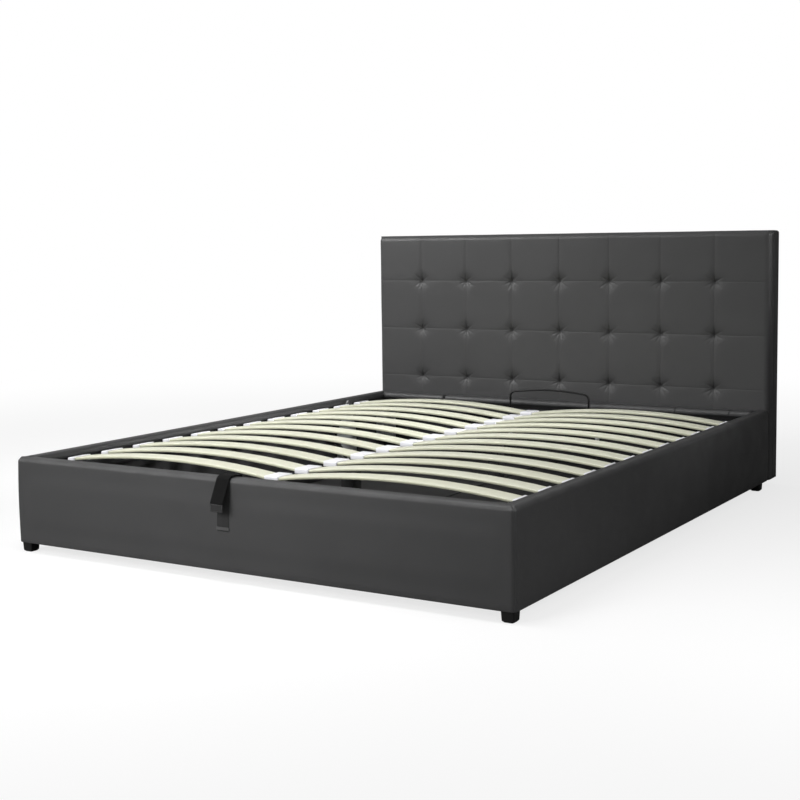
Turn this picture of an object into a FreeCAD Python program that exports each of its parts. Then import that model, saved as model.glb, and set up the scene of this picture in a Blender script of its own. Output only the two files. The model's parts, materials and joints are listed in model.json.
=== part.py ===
"""A gas-lift storage bed: an upholstered box on short feet with a tufted headboard,
and a slatted platform that hinges up near the head end on two gas struts.

Millimetres.  +X is the sleeper's right seen from the foot, +Y runs from the foot
to the headboard, +Z is up, and the origin is on the floor under the middle.
"""
import FreeCAD
import Part
import Sketcher
import math
import os
from types import SimpleNamespace

V = FreeCAD.Vector

SIZES = {
    # the whole bed
    "bed_width": 1700,
    "bed_length": 2220,
    "headboard_height": 960,
    "rail_top_height": 292,
    "foot_height": 30,
    # fits
    "cut_overrun": 5,
    "soft_clearance": 0.3,
    "pin_clearance": 0.06,
    "screw_clearance": 0.1,
    # upholstered rails
    "rail_thickness": 50,
    "rail_crown": 2,
    "rail_edge_radius": 14,
    "rail_inner_radius": 8,
    "rail_padding": 14,
    "rail_top_padding": 12,
    "rail_lining": 5,
    # headboard
    "pad_thickness": 58,
    "pad_crown": 8,
    "pad_edge_radius": 22,
    "tuft_columns": 7,
    "tuft_rows": 3,
    "lowest_tuft_height": 366,
    "top_tuft_margin": 190,
    "tuft_radius": 42,
    "tuft_depth": 22,
    "backboard_thickness": 15,
    "post_width": 45,
    "post_depth": 45,
    "border_thickness": 8,
    "lining_thickness": 2,
    "cross_rail_count": 3,
    "cross_rail_width": 70,
    "low_cross_rail_height": 115,
    "headboard_bolt_radius": 4,
    "headboard_bolt_head_radius": 9,
    "headboard_bolt_head_height": 5,
    "headboard_bolt_length": 150,
    "headboard_bolt_pitch": 380,
    # feet
    "foot_width": 38,
    "foot_taper": 1.5,
    "foot_round": 4,
    "foot_corner_radius": 5,
    "foot_inset": 28,
    "rear_foot_setback": 50,
    # storage floor
    "floor_beam_width": 80,
    "floor_beam_thickness": 8,
    "floor_panel_thickness": 4,
    "floor_panel_gap": 1,
    "cleat_width": 18,
    "centre_post_width": 45,
    "front_post_setback": 575,
    "rear_post_setback": 550,
    # corner brackets and screws
    "corner_leg": 60,
    "corner_plate": 3,
    "corner_plate_height": 120,
    "corner_plate_rise": 60,
    "corner_hole_margin": 20,
    "screw_radius": 3,
    "screw_head_radius": 7,
    "screw_head_height": 3,
    "screw_length": 24,
    # ledgers that the platform rests on
    "ledger_leg": 30,
    "ledger_plate": 3,
    "ledger_foot_gap": 10,
    "ledger_strut_gap": 45,
    "foot_ledger_length": 1200,
    # platform frame
    "platform_height": 258,
    "platform_foot_gap": 8,
    "platform_head_gap": 25,
    "tube_size": 30,
    "tube_wall": 2,
    "tube_corner_radius": 4,
    # slats and their caps
    "slat_count": 12,
    "first_slat_setback": 140,
    "last_slat_setback": 188,
    "slat_width": 66,
    "slat_thickness": 9,
    "slat_bow": 28,
    "slat_centre_gap": 16,
    "cap_wall": 4,
    "cap_floor": 3,
    "side_cap_length": 34,
    "centre_cap_length": 48,
    # lift mechanism
    "plate_thickness": 4,
    "plate_gap": 2,
    "hinge_setback": 253,
    "hinge_rise": 12,
    "hinge_pin_radius": 5,
    "hinge_head_radius": 9,
    "hinge_head_height": 4,
    "ear_radius": 14,
    "strut_reach": 220,
    "stud_drop": 57,
    "strut_rest_angle": 60,
    "strut_inset": 18,
    "strut_neck_radius": 5,
    "rod_fitting": 14,
    "stud_radius": 4,
    "stud_cap_radius": 6,
    "stud_cap_thickness": 2,
    "stud_margin": 12,
    "eye_radius": 9,
    "eye_width": 12,
    "barrel_radius": 10,
    "barrel_wall": 2,
    "barrel_base": 16,
    "barrel_length": 148,
    "gland_length": 10,
    "rod_radius": 4,
    "rod_length": 196,
    "piston_length": 12,
    "bracket_front": 85,
    "bracket_back": 55,
    "bracket_shoulder_drop": 120,
    "bracket_hole_margin": 18,
    "arm_front_margin": 24,
    "arm_bolt_count": 2,
    "arm_bolt_setback": 110,
    "arm_bolt_pitch": 70,
    "arm_bolt_length": 10,
    # mattress stop
    "stop_width": 340,
    "stop_height": 82,
    "stop_arch": 14,
    "stop_bend_radius": 22,
    "stop_wire_radius": 4,
    "stop_flange_radius": 13,
    "stop_flange_thickness": 3,
    # pull strap
    "strap_offset": -42,
    "strap_width": 44,
    "strap_thickness": 2,
    "strap_bend_radius": 5,
    "strap_tube_margin": 4,
    "strap_end_height": 142,
    "strap_lean": -4,
    "strap_flap_height": 226,
    "strap_flap_lean": -12,
    "strap_join": 12,
}


# Named sizes


class Size:
    """A length that carries its number and the expression that gives it."""

    def __init__(self, value, text):
        self.value = value
        self.text = text

    def joined(self, sign, other, value):
        return Size(value, "(%s %s %s)" % (self.text, sign, other.text))

    def __add__(self, other):
        other = as_size(other)
        return self.joined("+", other, self.value + other.value)

    def __sub__(self, other):
        other = as_size(other)
        return self.joined("-", other, self.value - other.value)

    def __mul__(self, other):
        other = as_size(other)
        return self.joined("*", other, self.value * other.value)

    def __truediv__(self, other):
        other = as_size(other)
        return self.joined("/", other, self.value / other.value)

    def __radd__(self, other):
        return as_size(other) + self

    def __rsub__(self, other):
        return as_size(other) - self

    def __rmul__(self, other):
        return as_size(other) * self

    def __neg__(self):
        return Size(-self.value, "(0 - %s)" % self.text)


def as_size(quantity):
    return quantity if isinstance(quantity, Size) else Size(quantity, repr(quantity))


def root(square):
    return Size(math.sqrt(square.value), "sqrt(%s)" % square.text)


def cosine(angle):
    return Size(math.cos(math.radians(angle.value)), "cos(%s * 1 deg)" % angle.text)


def sine(angle):
    return Size(math.sin(math.radians(angle.value)), "sin(%s * 1 deg)" % angle.text)


def arc_radius(chord, rise):
    """Radius of the arc that rises by rise in the middle of its chord."""
    return (chord * chord / 4 + rise * rise) / (2 * rise)


doc = FreeCAD.newDocument("storage_bed")
sheet = doc.addObject("Spreadsheet::Sheet", "Sizes")
for row, (name, number) in enumerate(SIZES.items(), 1):
    sheet.set("A%d" % row, name)
    sheet.set("B%d" % row, str(number))
    sheet.setAlias("B%d" % row, name)
doc.recompute()
d = SimpleNamespace(**{name: Size(float(number), "Sizes." + name) for name, number in SIZES.items()})

nodes = []
cuts = []


# Sketches and features


def bind(thing, path, size):
    """Tie a property to the sheet; a plain zero needs no expression."""
    if isinstance(size, Size):
        thing.setExpression(path, size.text)


def node(thing):
    nodes.append(thing)
    return thing


def new_body(label):
    body = doc.addObject("PartDesign::Body", label)
    body.Label = label
    return body


def place(thing, x=0, y=0, z=0, turn=0, axis=V(0, 0, 1)):
    spot = [as_size(q).value for q in (x, y, z)]
    thing.Placement = FreeCAD.Placement(V(*spot), FreeCAD.Rotation(axis, turn))
    for letter, size in zip("xyz", (x, y, z)):
        bind(thing, "Placement.Base." + letter, size)


def datum(body, role):
    return next(part for part in body.Origin.OriginFeatures if part.Role == role)


def new_sketch(body, role, offset=0):
    """A sketch on one of the body's own planes, moved along that plane's normal."""
    sketch = body.newObject("Sketcher::SketchObject", body.Label + "_sketch")
    sketch.AttachmentSupport = [(datum(body, role), "")]
    sketch.MapMode = "FlatFace"
    bind(sketch, "AttachmentOffset.Base.z", offset)
    return sketch


def dimension(sketch, kind, size, *where):
    index = sketch.addConstraint(Sketcher.Constraint(kind, *where, size.value))
    sketch.setExpression("Constraints[%d]" % index, size.text)


def pin_point(sketch, edge, end, spot):
    """Hold a point at its two coordinates; a plain zero puts it on the axis."""
    for kind, axis, size in (("DistanceX", -2, spot[0]), ("DistanceY", -1, spot[1])):
        if isinstance(size, Size):
            dimension(sketch, kind, size, -1, 1, edge, end)
        else:
            sketch.addConstraint(Sketcher.Constraint("PointOnObject", edge, end, axis))


def add_arc(sketch, start, end, radius, side):
    """An arc from start to end whose centre lies on the named side of the way."""
    way = end - start
    half = way.Length / 2
    left = V(-way.y, way.x, 0).normalize()
    rise = math.sqrt(max(radius * radius - half * half, 0))
    centre = (start + end) / 2 + left * (rise if side == "left" else -rise)
    turns = [math.atan2(p.y - centre.y, p.x - centre.x) for p in (start, end)]
    circle = Part.Circle(centre, V(0, 0, 1), radius)
    if side == "left":
        return sketch.addGeometry(Part.ArcOfCircle(circle, turns[0], turns[1]), False), 1, 2
    return sketch.addGeometry(Part.ArcOfCircle(circle, turns[1], turns[0]), False), 2, 1


def outline(sketch, corners, closed=True):
    """Draw corner to corner: (x, y) by a line, (x, y, radius, side) by an arc."""
    points = [V(as_size(c[0]).value, as_size(c[1]).value, 0) for c in corners]
    runs = []
    for i in range(0 if closed else 1, len(corners)):
        if len(corners[i]) == 2:
            edge = sketch.addGeometry(Part.LineSegment(points[i - 1], points[i]), False)
            tail, head = 1, 2
        else:
            radius, side = corners[i][2:]
            edge, tail, head = add_arc(sketch, points[i - 1], points[i], radius.value, side)
            dimension(sketch, "Radius", radius, edge)
        if runs:
            sketch.addConstraint(Sketcher.Constraint("Coincident", runs[-1][0], runs[-1][2], edge, tail))
        runs.append((edge, tail, head))
        pin_point(sketch, edge, head, corners[i])
    if closed:
        first, last = runs[0], runs[-1]
        sketch.addConstraint(Sketcher.Constraint("Coincident", last[0], last[2], first[0], first[1]))
    else:
        pin_point(sketch, runs[0][0], runs[0][1], corners[0])


def rectangle(sketch, left, low, right, high):
    outline(sketch, [(left, low), (right, low), (right, high), (left, high)])


def ring(sketch, x, y, radius):
    centre = V(as_size(x).value, as_size(y).value, 0)
    edge = sketch.addGeometry(Part.Circle(centre, V(0, 0, 1), radius.value), False)
    dimension(sketch, "Radius", radius, edge)
    pin_point(sketch, edge, 3, (x, y))


def feature(body, kind, sketch):
    made = body.newObject("PartDesign::" + kind, body.Label + "_" + kind.lower())
    made.Profile = sketch
    return made


def pad(body, sketch, length, both_ways=False, back=False):
    made = feature(body, "Pad", sketch)
    bind(made, "Length", length)
    made.Length = length.value
    if both_ways:
        made.SideType = "Symmetric"
    made.Reversed = back
    return made


def pocket(body, sketch, length, both_ways=False, back=False):
    doc.recompute()
    made = feature(body, "Pocket", sketch)
    bind(made, "Length", length)
    made.Length = length.value
    if both_ways:
        made.SideType = "Symmetric"
    made.Reversed = back
    cuts.append(made)
    return made


def revolve(body, sketch, axis_role):
    made = feature(body, "Revolution", sketch)
    made.ReferenceAxis = (datum(body, axis_role), [""])
    made.Angle = 360
    return made


def row_of(body, originals, axis_role, length, count):
    """Repeat features along one of the body's axes."""
    doc.recompute()
    made = body.newObject("PartDesign::LinearPattern", body.Label + "_row")
    made.Originals = originals
    made.Direction = (datum(body, axis_role), [""])
    bind(made, "Length", length)
    bind(made, "Occurrences", count)
    body.Tip = made
    return made


def block(label, low, high):
    """A plain board from its lowest to its highest corner."""
    made = doc.addObject("Part::Box", label)
    made.Label = label
    for name, start, end in zip(("Length", "Width", "Height"), low, high):
        bind(made, name, end - start)
    place(made, *low)
    return node(made)


def group(label, pieces):
    made = doc.addObject("Part::Compound", label)
    made.Label = label
    made.Links = pieces
    return made


def copies(label, pattern, spots):
    """Identical pieces, one group of separate solids; a spot is x, y, z, turn, axis."""
    links = []
    for spot in spots:
        link = doc.addObject("App::Link", label + "_piece")
        link.LinkedObject = pattern
        link.LinkTransform = False
        place(link, *spot)
        links.append(link)
    return group(label, links)


def drill(body, role, spots, radius, depth, offset=0, back=False):
    """Round holes square to one of the body's planes, from the plane moved by offset."""
    sketch = new_sketch(body, role, offset)
    for across, up in spots:
        ring(sketch, across, up, radius)
    return pocket(body, sketch, depth, back=back)


# Places that many pieces share

over = d.cut_overrun
half_width = d.bed_width / 2
strap_proud = d.soft_clearance + 2 * d.strap_thickness
foot_face = (strap_proud - d.bed_length) / 2
headboard_back = foot_face + d.bed_length
lining_front = headboard_back - d.lining_thickness
post_front = lining_front - d.post_depth
pad_back = post_front - d.backboard_thickness
headboard_front = pad_back - d.pad_thickness
rail_height = d.rail_top_height - d.foot_height
rail_inner_x = half_width - d.rail_thickness
foot_inner_y = foot_face + d.rail_thickness
rail_end_y = headboard_front - d.soft_clearance
head_inner_y = rail_end_y - d.rail_thickness
side_rail_length = rail_end_y - foot_face
platform_half = rail_inner_x - 2 * d.plate_thickness - d.plate_gap
platform_foot_end = foot_inner_y + d.platform_foot_gap
platform_head_end = head_inner_y - d.platform_head_gap
platform_length = platform_head_end - platform_foot_end
tube_bottom = d.platform_height - d.tube_size
hinge_y = platform_head_end - d.hinge_setback
hinge_z = d.platform_height + d.hinge_rise
stud_run = root(d.strut_reach * d.strut_reach - d.stud_drop * d.stud_drop)
base_run = stud_run * cosine(d.strut_rest_angle) - d.stud_drop * sine(d.strut_rest_angle)
base_drop = stud_run * sine(d.strut_rest_angle) + d.stud_drop * cosine(d.strut_rest_angle)
floor_bottom = d.foot_height + d.floor_beam_thickness
floor_top = floor_bottom + d.floor_panel_thickness
screw_hole = d.screw_radius + d.screw_clearance


# Upholstered rails: a board inside a padded cover that wraps over its top


def mitre(body, length, depth, at_start, at_end, height):
    """Cut the ends at 45 degrees, the outer side left long."""
    corners = []
    if at_start:
        corners.append([(-over, -over), (depth + over, depth + over), (-over, depth + over)])
    if at_end:
        far = length + over
        corners.append([(far, -over), (far, depth + over), (length - depth - over, depth + over)])
    if corners:
        sketch = new_sketch(body, "XY_Plane")
        for corner in corners:
            outline(sketch, corner)
        pocket(body, sketch, height, back=True)


def rail_cover(label, length, at_start, at_end):
    body = new_body(label)
    deep = d.rail_thickness
    face_top = rail_height - d.rail_edge_radius
    core_top = rail_height - d.rail_top_padding
    sketch = new_sketch(body, "YZ_Plane")
    outline(sketch, [
        (d.rail_crown, 0),
        (d.rail_crown, face_top, arc_radius(face_top, d.rail_crown), "right"),
        (d.rail_crown + d.rail_edge_radius, rail_height, d.rail_edge_radius, "right"),
        (deep - d.rail_inner_radius, rail_height),
        (deep, rail_height - d.rail_inner_radius, d.rail_inner_radius, "right"),
        (deep, 0),
        (deep - d.rail_lining, 0),
        (deep - d.rail_lining, core_top),
        (d.rail_padding, core_top),
        (d.rail_padding, 0),
    ])
    pad(body, sketch, length)
    mitre(body, length, deep, at_start, at_end, rail_height + over)
    return node(body)


def rail_board(label, length, at_start, at_end):
    body = new_body(label)
    sketch = new_sketch(body, "YZ_Plane")
    rectangle(sketch, d.rail_padding, 0, d.rail_thickness - d.rail_lining, rail_height - d.rail_top_padding)
    pad(body, sketch, length)
    mitre(body, length, d.rail_thickness, at_start, at_end, rail_height + over)
    return node(body)


def rail(name, length, at_start, at_end, spot, screw_spots):
    """Cover and board together; screw_spots are places along the rail and up it."""
    cover = rail_cover(name + "_rail_cover", length, at_start, at_end)
    board = rail_board(name + "_rail_board", length, at_start, at_end)
    for body in (cover, board):
        if screw_spots:
            drill(body, "XZ_Plane", screw_spots, screw_hole, d.screw_length, -d.rail_thickness, back=True)
        place(body, *spot)
    return cover, board


corner_low = d.foot_height + d.corner_plate_rise
corner_holes = [d.corner_hole_margin, d.corner_plate_height - d.corner_hole_margin]
corner_reach = d.corner_leg - d.corner_hole_margin
bracket_holes = [
    (d.bracket_back - d.bracket_hole_margin, -(d.bracket_shoulder_drop + d.bracket_hole_margin)),
    (d.bracket_back - d.bracket_hole_margin, d.bracket_hole_margin - base_drop),
    (d.bracket_hole_margin - d.bracket_front, -(d.bracket_shoulder_drop + d.bracket_hole_margin)),
    (0, -d.bracket_shoulder_drop / 2),
]
side_screws = [(foot_inner_y + corner_reach, corner_low + up) for up in corner_holes]
side_screws += [(head_inner_y - corner_reach, corner_low + up) for up in corner_holes]
bracket_screws = [(hinge_y + run, hinge_z + rise) for run, rise in bracket_holes]
across_screws = [(side * (rail_inner_x - corner_reach), corner_low + up)
                 for side in (-1, 1) for up in corner_holes]

rail("foot", d.bed_width, True, True, (-half_width, foot_face, d.foot_height),
     [(x + half_width, high - d.foot_height) for x, high in across_screws])
rail("right", side_rail_length, True, False, (half_width, foot_face, d.foot_height, 90),
     [(y - foot_face, high - d.foot_height) for y, high in side_screws + bracket_screws])
rail("left", side_rail_length, False, True, (-half_width, rail_end_y, d.foot_height, -90),
     [(rail_end_y - y, high - d.foot_height) for y, high in side_screws + bracket_screws])
head_rail = rail("head", 2 * rail_inner_x, False, False, (rail_inner_x, rail_end_y, d.foot_height, 180),
                 [(rail_inner_x - x, high - d.foot_height) for x, high in across_screws])

# Through bolts that hold the headboard against the head rail

bolt_shares = (-1.5, -0.5, 0.5, 1.5)
bolt_places = [d.headboard_bolt_pitch * share for share in bolt_shares]
bolt_height = d.low_cross_rail_height + d.cross_rail_width / 2
bolt_hole = d.headboard_bolt_radius + d.screw_clearance
bolt_rise = bolt_height - d.foot_height
for body in head_rail:
    drill(body, "XZ_Plane", [(rail_inner_x - x, bolt_rise) for x in bolt_places],
          bolt_hole, d.rail_thickness)


def fastener(label, head_radius, head_height, shank_radius, shank_length):
    """A headed pin along +Y, seated at the origin."""
    body = new_body(label)
    sketch = new_sketch(body, "XY_Plane")
    outline(sketch, [
        (0, -head_height),
        (head_radius, -head_height),
        (head_radius, 0),
        (shank_radius, 0),
        (shank_radius, shank_length),
        (0, shank_length),
    ])
    revolve(body, sketch, "Y_Axis")
    return body


through_bolt = fastener("through_bolt", d.headboard_bolt_head_radius, d.headboard_bolt_head_height,
                        d.headboard_bolt_radius, d.headboard_bolt_length)
wood_screw = fastener("wood_screw", d.screw_head_radius, d.screw_head_height, d.screw_radius, d.screw_length)
arm_bolt = fastener("arm_bolt", d.screw_head_radius, d.screw_head_height, d.screw_radius, d.arm_bolt_length)
node(copies("headboard_bolts", through_bolt, [(x, head_inner_y, bolt_height) for x in bolt_places]))


# Headboard: tufted pad, backboard, timber frame, borders and lining

pad_height = d.headboard_height - d.foot_height
pad_level = d.pad_thickness - d.pad_crown
edge = d.pad_edge_radius
columns = SIZES["tuft_columns"]
tuft_pitch = d.bed_width / (d.tuft_columns + 1)
tuft_places = [tuft_pitch * (k - (columns - 1) / 2) for k in range(columns)]
tuft_row_pitch = (d.headboard_height - d.top_tuft_margin - d.lowest_tuft_height) / (d.tuft_rows - 1)
tuft_heights = [d.lowest_tuft_height + tuft_row_pitch * k for k in range(SIZES["tuft_rows"])]


def bays(start, ends):
    """Crowned arcs from one sewn line to the next; gives (end, radius) pairs."""
    made = []
    for end in ends:
        made.append((end, arc_radius(end - start, d.pad_crown)))
        start = end
    return made


quilt = new_body("quilted_pad")
plan = new_sketch(quilt, "XY_Plane")
plan_corners = [
    (-half_width, 0),
    (-half_width, edge - pad_level),
    (edge - half_width, -pad_level, edge, "left"),
]
for x, radius in bays(edge - half_width, tuft_places + [half_width - edge]):
    plan_corners.append((x, -pad_level, radius, "left"))
plan_corners += [(half_width, edge - pad_level, edge, "left"), (half_width, 0)]
outline(plan, plan_corners)
pad(quilt, plan, pad_height)
side_view = new_sketch(quilt, "YZ_Plane")
clear_front = -(d.pad_thickness + over)
side_corners = [
    (clear_front, -over),
    (clear_front, pad_height + over),
    (edge - pad_level, pad_height + over),
    (edge - pad_level, pad_height),
    (-pad_level, pad_height - edge, edge, "left"),
]
row_places = [high - d.foot_height for high in reversed(tuft_heights)]
for z, radius in bays(pad_height - edge, row_places):
    side_corners.append((-pad_level, z, radius, "left"))
side_corners.append((-pad_level, 0, arc_radius(row_places[-1], d.pad_crown), "left"))
side_corners.append((-pad_level, -over))
outline(side_view, side_corners)
pocket(quilt, side_view, d.bed_width + 2 * over, both_ways=True)
drill(quilt, "XZ_Plane", [(x, bolt_rise) for x in bolt_places], bolt_hole, d.pad_thickness + over, back=True)
place(quilt, 0, pad_back, d.foot_height)

# a tuft's hollow narrows from the pad's front to a point at its stitch
dimple = new_body("tuft_dimple")
flank = new_sketch(dimple, "XY_Plane")
outline(flank, [(0, 0), (d.tuft_radius, 0), (0, d.tuft_depth)])
revolve(dimple, flank, "Y_Axis")
headboard_pad = node(doc.addObject("Part::Cut", "headboard_pad"))
headboard_pad.Base = quilt
headboard_pad.Tool = copies("tuft_dimples", dimple, [
    (x, headboard_front, high) for x in tuft_places for high in tuft_heights])

frame_half = half_width - d.border_thickness
frame_top = d.headboard_height - d.border_thickness
backboard = node(new_body("headboard_board"))
face = new_sketch(backboard, "XZ_Plane")
rectangle(face, -frame_half, 0, frame_half, frame_top - d.foot_height)
pad(backboard, face, d.backboard_thickness, back=True)
drill(backboard, "XZ_Plane", [(x, bolt_rise) for x in bolt_places], bolt_hole, d.backboard_thickness + over)
place(backboard, 0, pad_back, d.foot_height)

post_inner = frame_half - d.post_width
block("headboard_left_post", (-frame_half, post_front, d.foot_height), (-post_inner, lining_front, frame_top))
block("headboard_right_post", (post_inner, post_front, d.foot_height), (frame_half, lining_front, frame_top))


def cross_rail(label, height, drilled):
    body = new_body(label)
    sketch = new_sketch(body, "XZ_Plane")
    rectangle(sketch, -post_inner, 0, post_inner, d.cross_rail_width)
    pad(body, sketch, d.post_depth, back=True)
    if drilled:
        drill(body, "XZ_Plane", [(x, d.cross_rail_width / 2) for x in bolt_places], bolt_hole, d.post_depth)
    place(body, 0, post_front, height)
    return body


cross_rail_pitch = (frame_top - d.cross_rail_width - d.low_cross_rail_height) / (d.cross_rail_count - 1)
cross_rail_heights = [d.low_cross_rail_height + cross_rail_pitch * k
                      for k in range(SIZES["cross_rail_count"])]
node(group("headboard_cross_rails", [
    cross_rail("cross_rail", high, high is cross_rail_heights[0]) for high in cross_rail_heights]))
block("headboard_left_border", (-half_width, pad_back, d.foot_height),
      (-frame_half, headboard_back, d.headboard_height))
block("headboard_right_border", (frame_half, pad_back, d.foot_height),
      (half_width, headboard_back, d.headboard_height))
block("headboard_top_border", (-frame_half, pad_back, frame_top),
      (frame_half, headboard_back, d.headboard_height))
block("headboard_back_lining", (-frame_half, lining_front, d.foot_height),
      (frame_half, headboard_back, frame_top))


# Feet


def foot(label):
    """A square block with eased corners, drawn in a little and chamfered at the tread."""
    body = new_body(label)
    top = d.foot_width / 2
    tread = top - d.foot_taper
    round_off = d.foot_corner_radius
    sections = []
    for half, level in ((tread - d.foot_round, 0), (tread, d.foot_round), (top, d.foot_height)):
        sketch = new_sketch(body, "XY_Plane", level)
        near = half - round_off
        outline(sketch, [
            (-near, -half, round_off, "left"),
            (near, -half),
            (half, -near, round_off, "left"),
            (half, near),
            (near, half, round_off, "left"),
            (-near, half),
            (-half, near, round_off, "left"),
            (-half, -near),
        ])
        sections.append(sketch)
    made = feature(body, "AdditiveLoft", sections[0])
    made.Sections = sections[1:]
    made.Ruled = True
    return body


foot_x = half_width - d.foot_inset
for end, y in (("front", foot_face + d.foot_inset), ("rear", rail_end_y - d.rear_foot_setback)):
    place(node(foot(end + "_left_foot")), -foot_x, y)
    place(node(foot(end + "_right_foot")), foot_x, y)
front_post_y = foot_face + d.front_post_setback
rear_post_y = rail_end_y - d.rear_post_setback
node(copies("centre_feet", foot("centre_foot"), [(0, front_post_y), (0, rear_post_y)]))


# Storage floor and the posts that carry the middle of the platform

beam_half = d.floor_beam_width / 2
post_half = d.centre_post_width / 2
block("floor_beam", (-beam_half, foot_inner_y, d.foot_height), (beam_half, head_inner_y, floor_bottom))
for name, side in (("left", -1), ("right", 1)):
    cleat = sorted((side * (rail_inner_x - d.cleat_width), side * rail_inner_x), key=lambda q: q.value)
    block(name + "_floor_cleat", (cleat[0], foot_inner_y, d.foot_height),
          (cleat[1], head_inner_y, floor_bottom))
    edges = sorted((side * (post_half + d.floor_panel_gap), side * (rail_inner_x - d.floor_panel_gap)),
                   key=lambda q: q.value)
    block("floor_%s_panel" % name, (edges[0], foot_inner_y + d.floor_panel_gap, floor_bottom),
          (edges[1], head_inner_y - d.floor_panel_gap, floor_top))
for name, y in (("front", front_post_y), ("rear", rear_post_y)):
    block(name + "_centre_post", (-post_half, y - post_half, floor_bottom),
          (post_half, y + post_half, tube_bottom))


# Corner brackets and their screws

corner = new_body("corner_bracket")
angle = new_sketch(corner, "XY_Plane")
outline(angle, [
    (0, 0),
    (d.corner_leg, 0),
    (d.corner_leg, d.corner_plate),
    (d.corner_plate, d.corner_plate),
    (d.corner_plate, d.corner_leg),
    (0, d.corner_leg),
])
pad(corner, angle, d.corner_plate_height)
corner_spots = [(corner_reach, up) for up in corner_holes]
drill(corner, "XZ_Plane", corner_spots, screw_hole, d.corner_plate + over)
drill(corner, "YZ_Plane", corner_spots, screw_hole, d.corner_plate + over, back=True)
node(copies("corner_brackets", corner, [
    (-rail_inner_x, foot_inner_y, corner_low, 0),
    (rail_inner_x, foot_inner_y, corner_low, 90),
    (rail_inner_x, head_inner_y, corner_low, 180),
    (-rail_inner_x, head_inner_y, corner_low, 270),
]))
seat_x = rail_inner_x - d.corner_plate
corner_screw_spots = [(x, foot_inner_y + d.corner_plate, high, 180) for x, high in across_screws]
corner_screw_spots += [(x, head_inner_y - d.corner_plate, high, 0) for x, high in across_screws]
corner_screw_spots += [(seat_x, y, high, -90) for y, high in side_screws]
corner_screw_spots += [(-seat_x, y, high, 90) for y, high in side_screws]
node(copies("corner_screws", wood_screw, corner_screw_spots))


# Ledgers: steel angles under the edges of the platform


def ledger(label, side, length):
    body = new_body(label)
    sketch = new_sketch(body, "XZ_Plane")
    outline(sketch, [
        (-side * d.ledger_leg, 0),
        (0, 0),
        (0, -d.ledger_leg),
        (-side * d.ledger_plate, -d.ledger_leg),
        (-side * d.ledger_plate, -d.ledger_plate),
        (-side * d.ledger_leg, -d.ledger_plate),
    ])
    pad(body, sketch, length, back=True)
    return node(body)


ledger_start = foot_inner_y + d.corner_leg + d.ledger_foot_gap
ledger_length = hinge_y - stud_run - d.ledger_strut_gap - ledger_start
place(ledger("left_ledger", -1, ledger_length), -rail_inner_x, ledger_start, tube_bottom)
place(ledger("right_ledger", 1, ledger_length), rail_inner_x, ledger_start, tube_bottom)
place(ledger("foot_ledger", 1, d.foot_ledger_length), -d.foot_ledger_length / 2, foot_inner_y, tube_bottom, -90)


# Platform frame: square tubes, mitred and welded at the corners


def tube(label, length, at_start, at_end, spot, bolt_spots=()):
    body = new_body(label)
    size = d.tube_size
    bend = d.tube_corner_radius
    sketch = new_sketch(body, "YZ_Plane")
    outline(sketch, [
        (bend, 0, bend, "left"),
        (size - bend, 0),
        (size, bend, bend, "left"),
        (size, size - bend),
        (size - bend, size, bend, "left"),
        (bend, size),
        (0, size - bend, bend, "left"),
        (0, bend),
    ])
    rectangle(sketch, d.tube_wall, d.tube_wall, size - d.tube_wall, size - d.tube_wall)
    pad(body, sketch, length)
    mitre(body, length, size, at_start, at_end, size + over)
    if bolt_spots:
        drill(body, "XZ_Plane", bolt_spots, screw_hole, 2 * d.tube_wall)
    place(body, *spot)
    return node(body)


arm_bolt_places = [hinge_y - d.arm_bolt_setback - d.arm_bolt_pitch * k for k in range(SIZES["arm_bolt_count"])]
tube_middle = d.tube_size / 2
tube("platform_foot_tube", 2 * platform_half, True, True, (-platform_half, platform_foot_end, tube_bottom))
tube("platform_head_tube", 2 * platform_half, True, True, (platform_half, platform_head_end, tube_bottom, 180))
tube("platform_right_tube", platform_length, True, True, (platform_half, platform_foot_end, tube_bottom, 90),
     [(y - platform_foot_end, tube_middle) for y in arm_bolt_places])
tube("platform_left_tube", platform_length, True, True, (-platform_half, platform_head_end, tube_bottom, -90),
     [(platform_head_end - y, tube_middle) for y in arm_bolt_places])
tube("platform_centre_tube", platform_length - 2 * d.tube_size, False, False,
     (tube_middle, platform_foot_end + d.tube_size, tube_bottom, 90))


# Bowed slats in two columns, with a cap on every end

slat_seat = d.platform_height + d.cap_floor
slat_inner = d.slat_centre_gap / 2
slat_outer = platform_half - d.cap_wall
slat_middle = (slat_inner + slat_outer) / 2
slat_bend = arc_radius(slat_outer - slat_inner, d.slat_bow)
first_slat_y = platform_foot_end + d.first_slat_setback
row_length = platform_length - d.first_slat_setback - d.last_slat_setback


def slat_rise(x):
    """Height of a slat's underside over its seat at x."""
    off = x - slat_middle
    return root(slat_bend * slat_bend - off * off) - slat_bend + d.slat_bow


def slats(label, side):
    body = new_body(label)
    sketch = new_sketch(body, "XZ_Plane")
    top = slat_seat + d.slat_thickness
    ways = ("right", "left") if side > 0 else ("left", "right")
    outline(sketch, [
        (side * slat_inner, slat_seat),
        (side * slat_outer, slat_seat, slat_bend, ways[0]),
        (side * slat_outer, top),
        (side * slat_inner, top, slat_bend, ways[1]),
    ])
    strip = pad(body, sketch, d.slat_width, both_ways=True)
    row_of(body, [strip], "Y_Axis", row_length, d.slat_count)
    place(body, 0, first_slat_y, 0)
    return node(body)


slats("left_slats", -1)
slats("right_slats", 1)


def slot_outline(side, end, mouth, past_mouth):
    """The slot in a cap that one slat's end slides into."""
    rise = slat_rise(mouth)
    gap = d.soft_clearance
    low = slat_seat - gap
    high = slat_seat + d.slat_thickness + gap
    return [(side * x, z) for x, z in (
        (past_mouth, low + rise),
        (mouth, low + rise),
        (end, low),
        (end, high),
        (mouth, high + rise),
        (past_mouth, high + rise),
    )]


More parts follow.
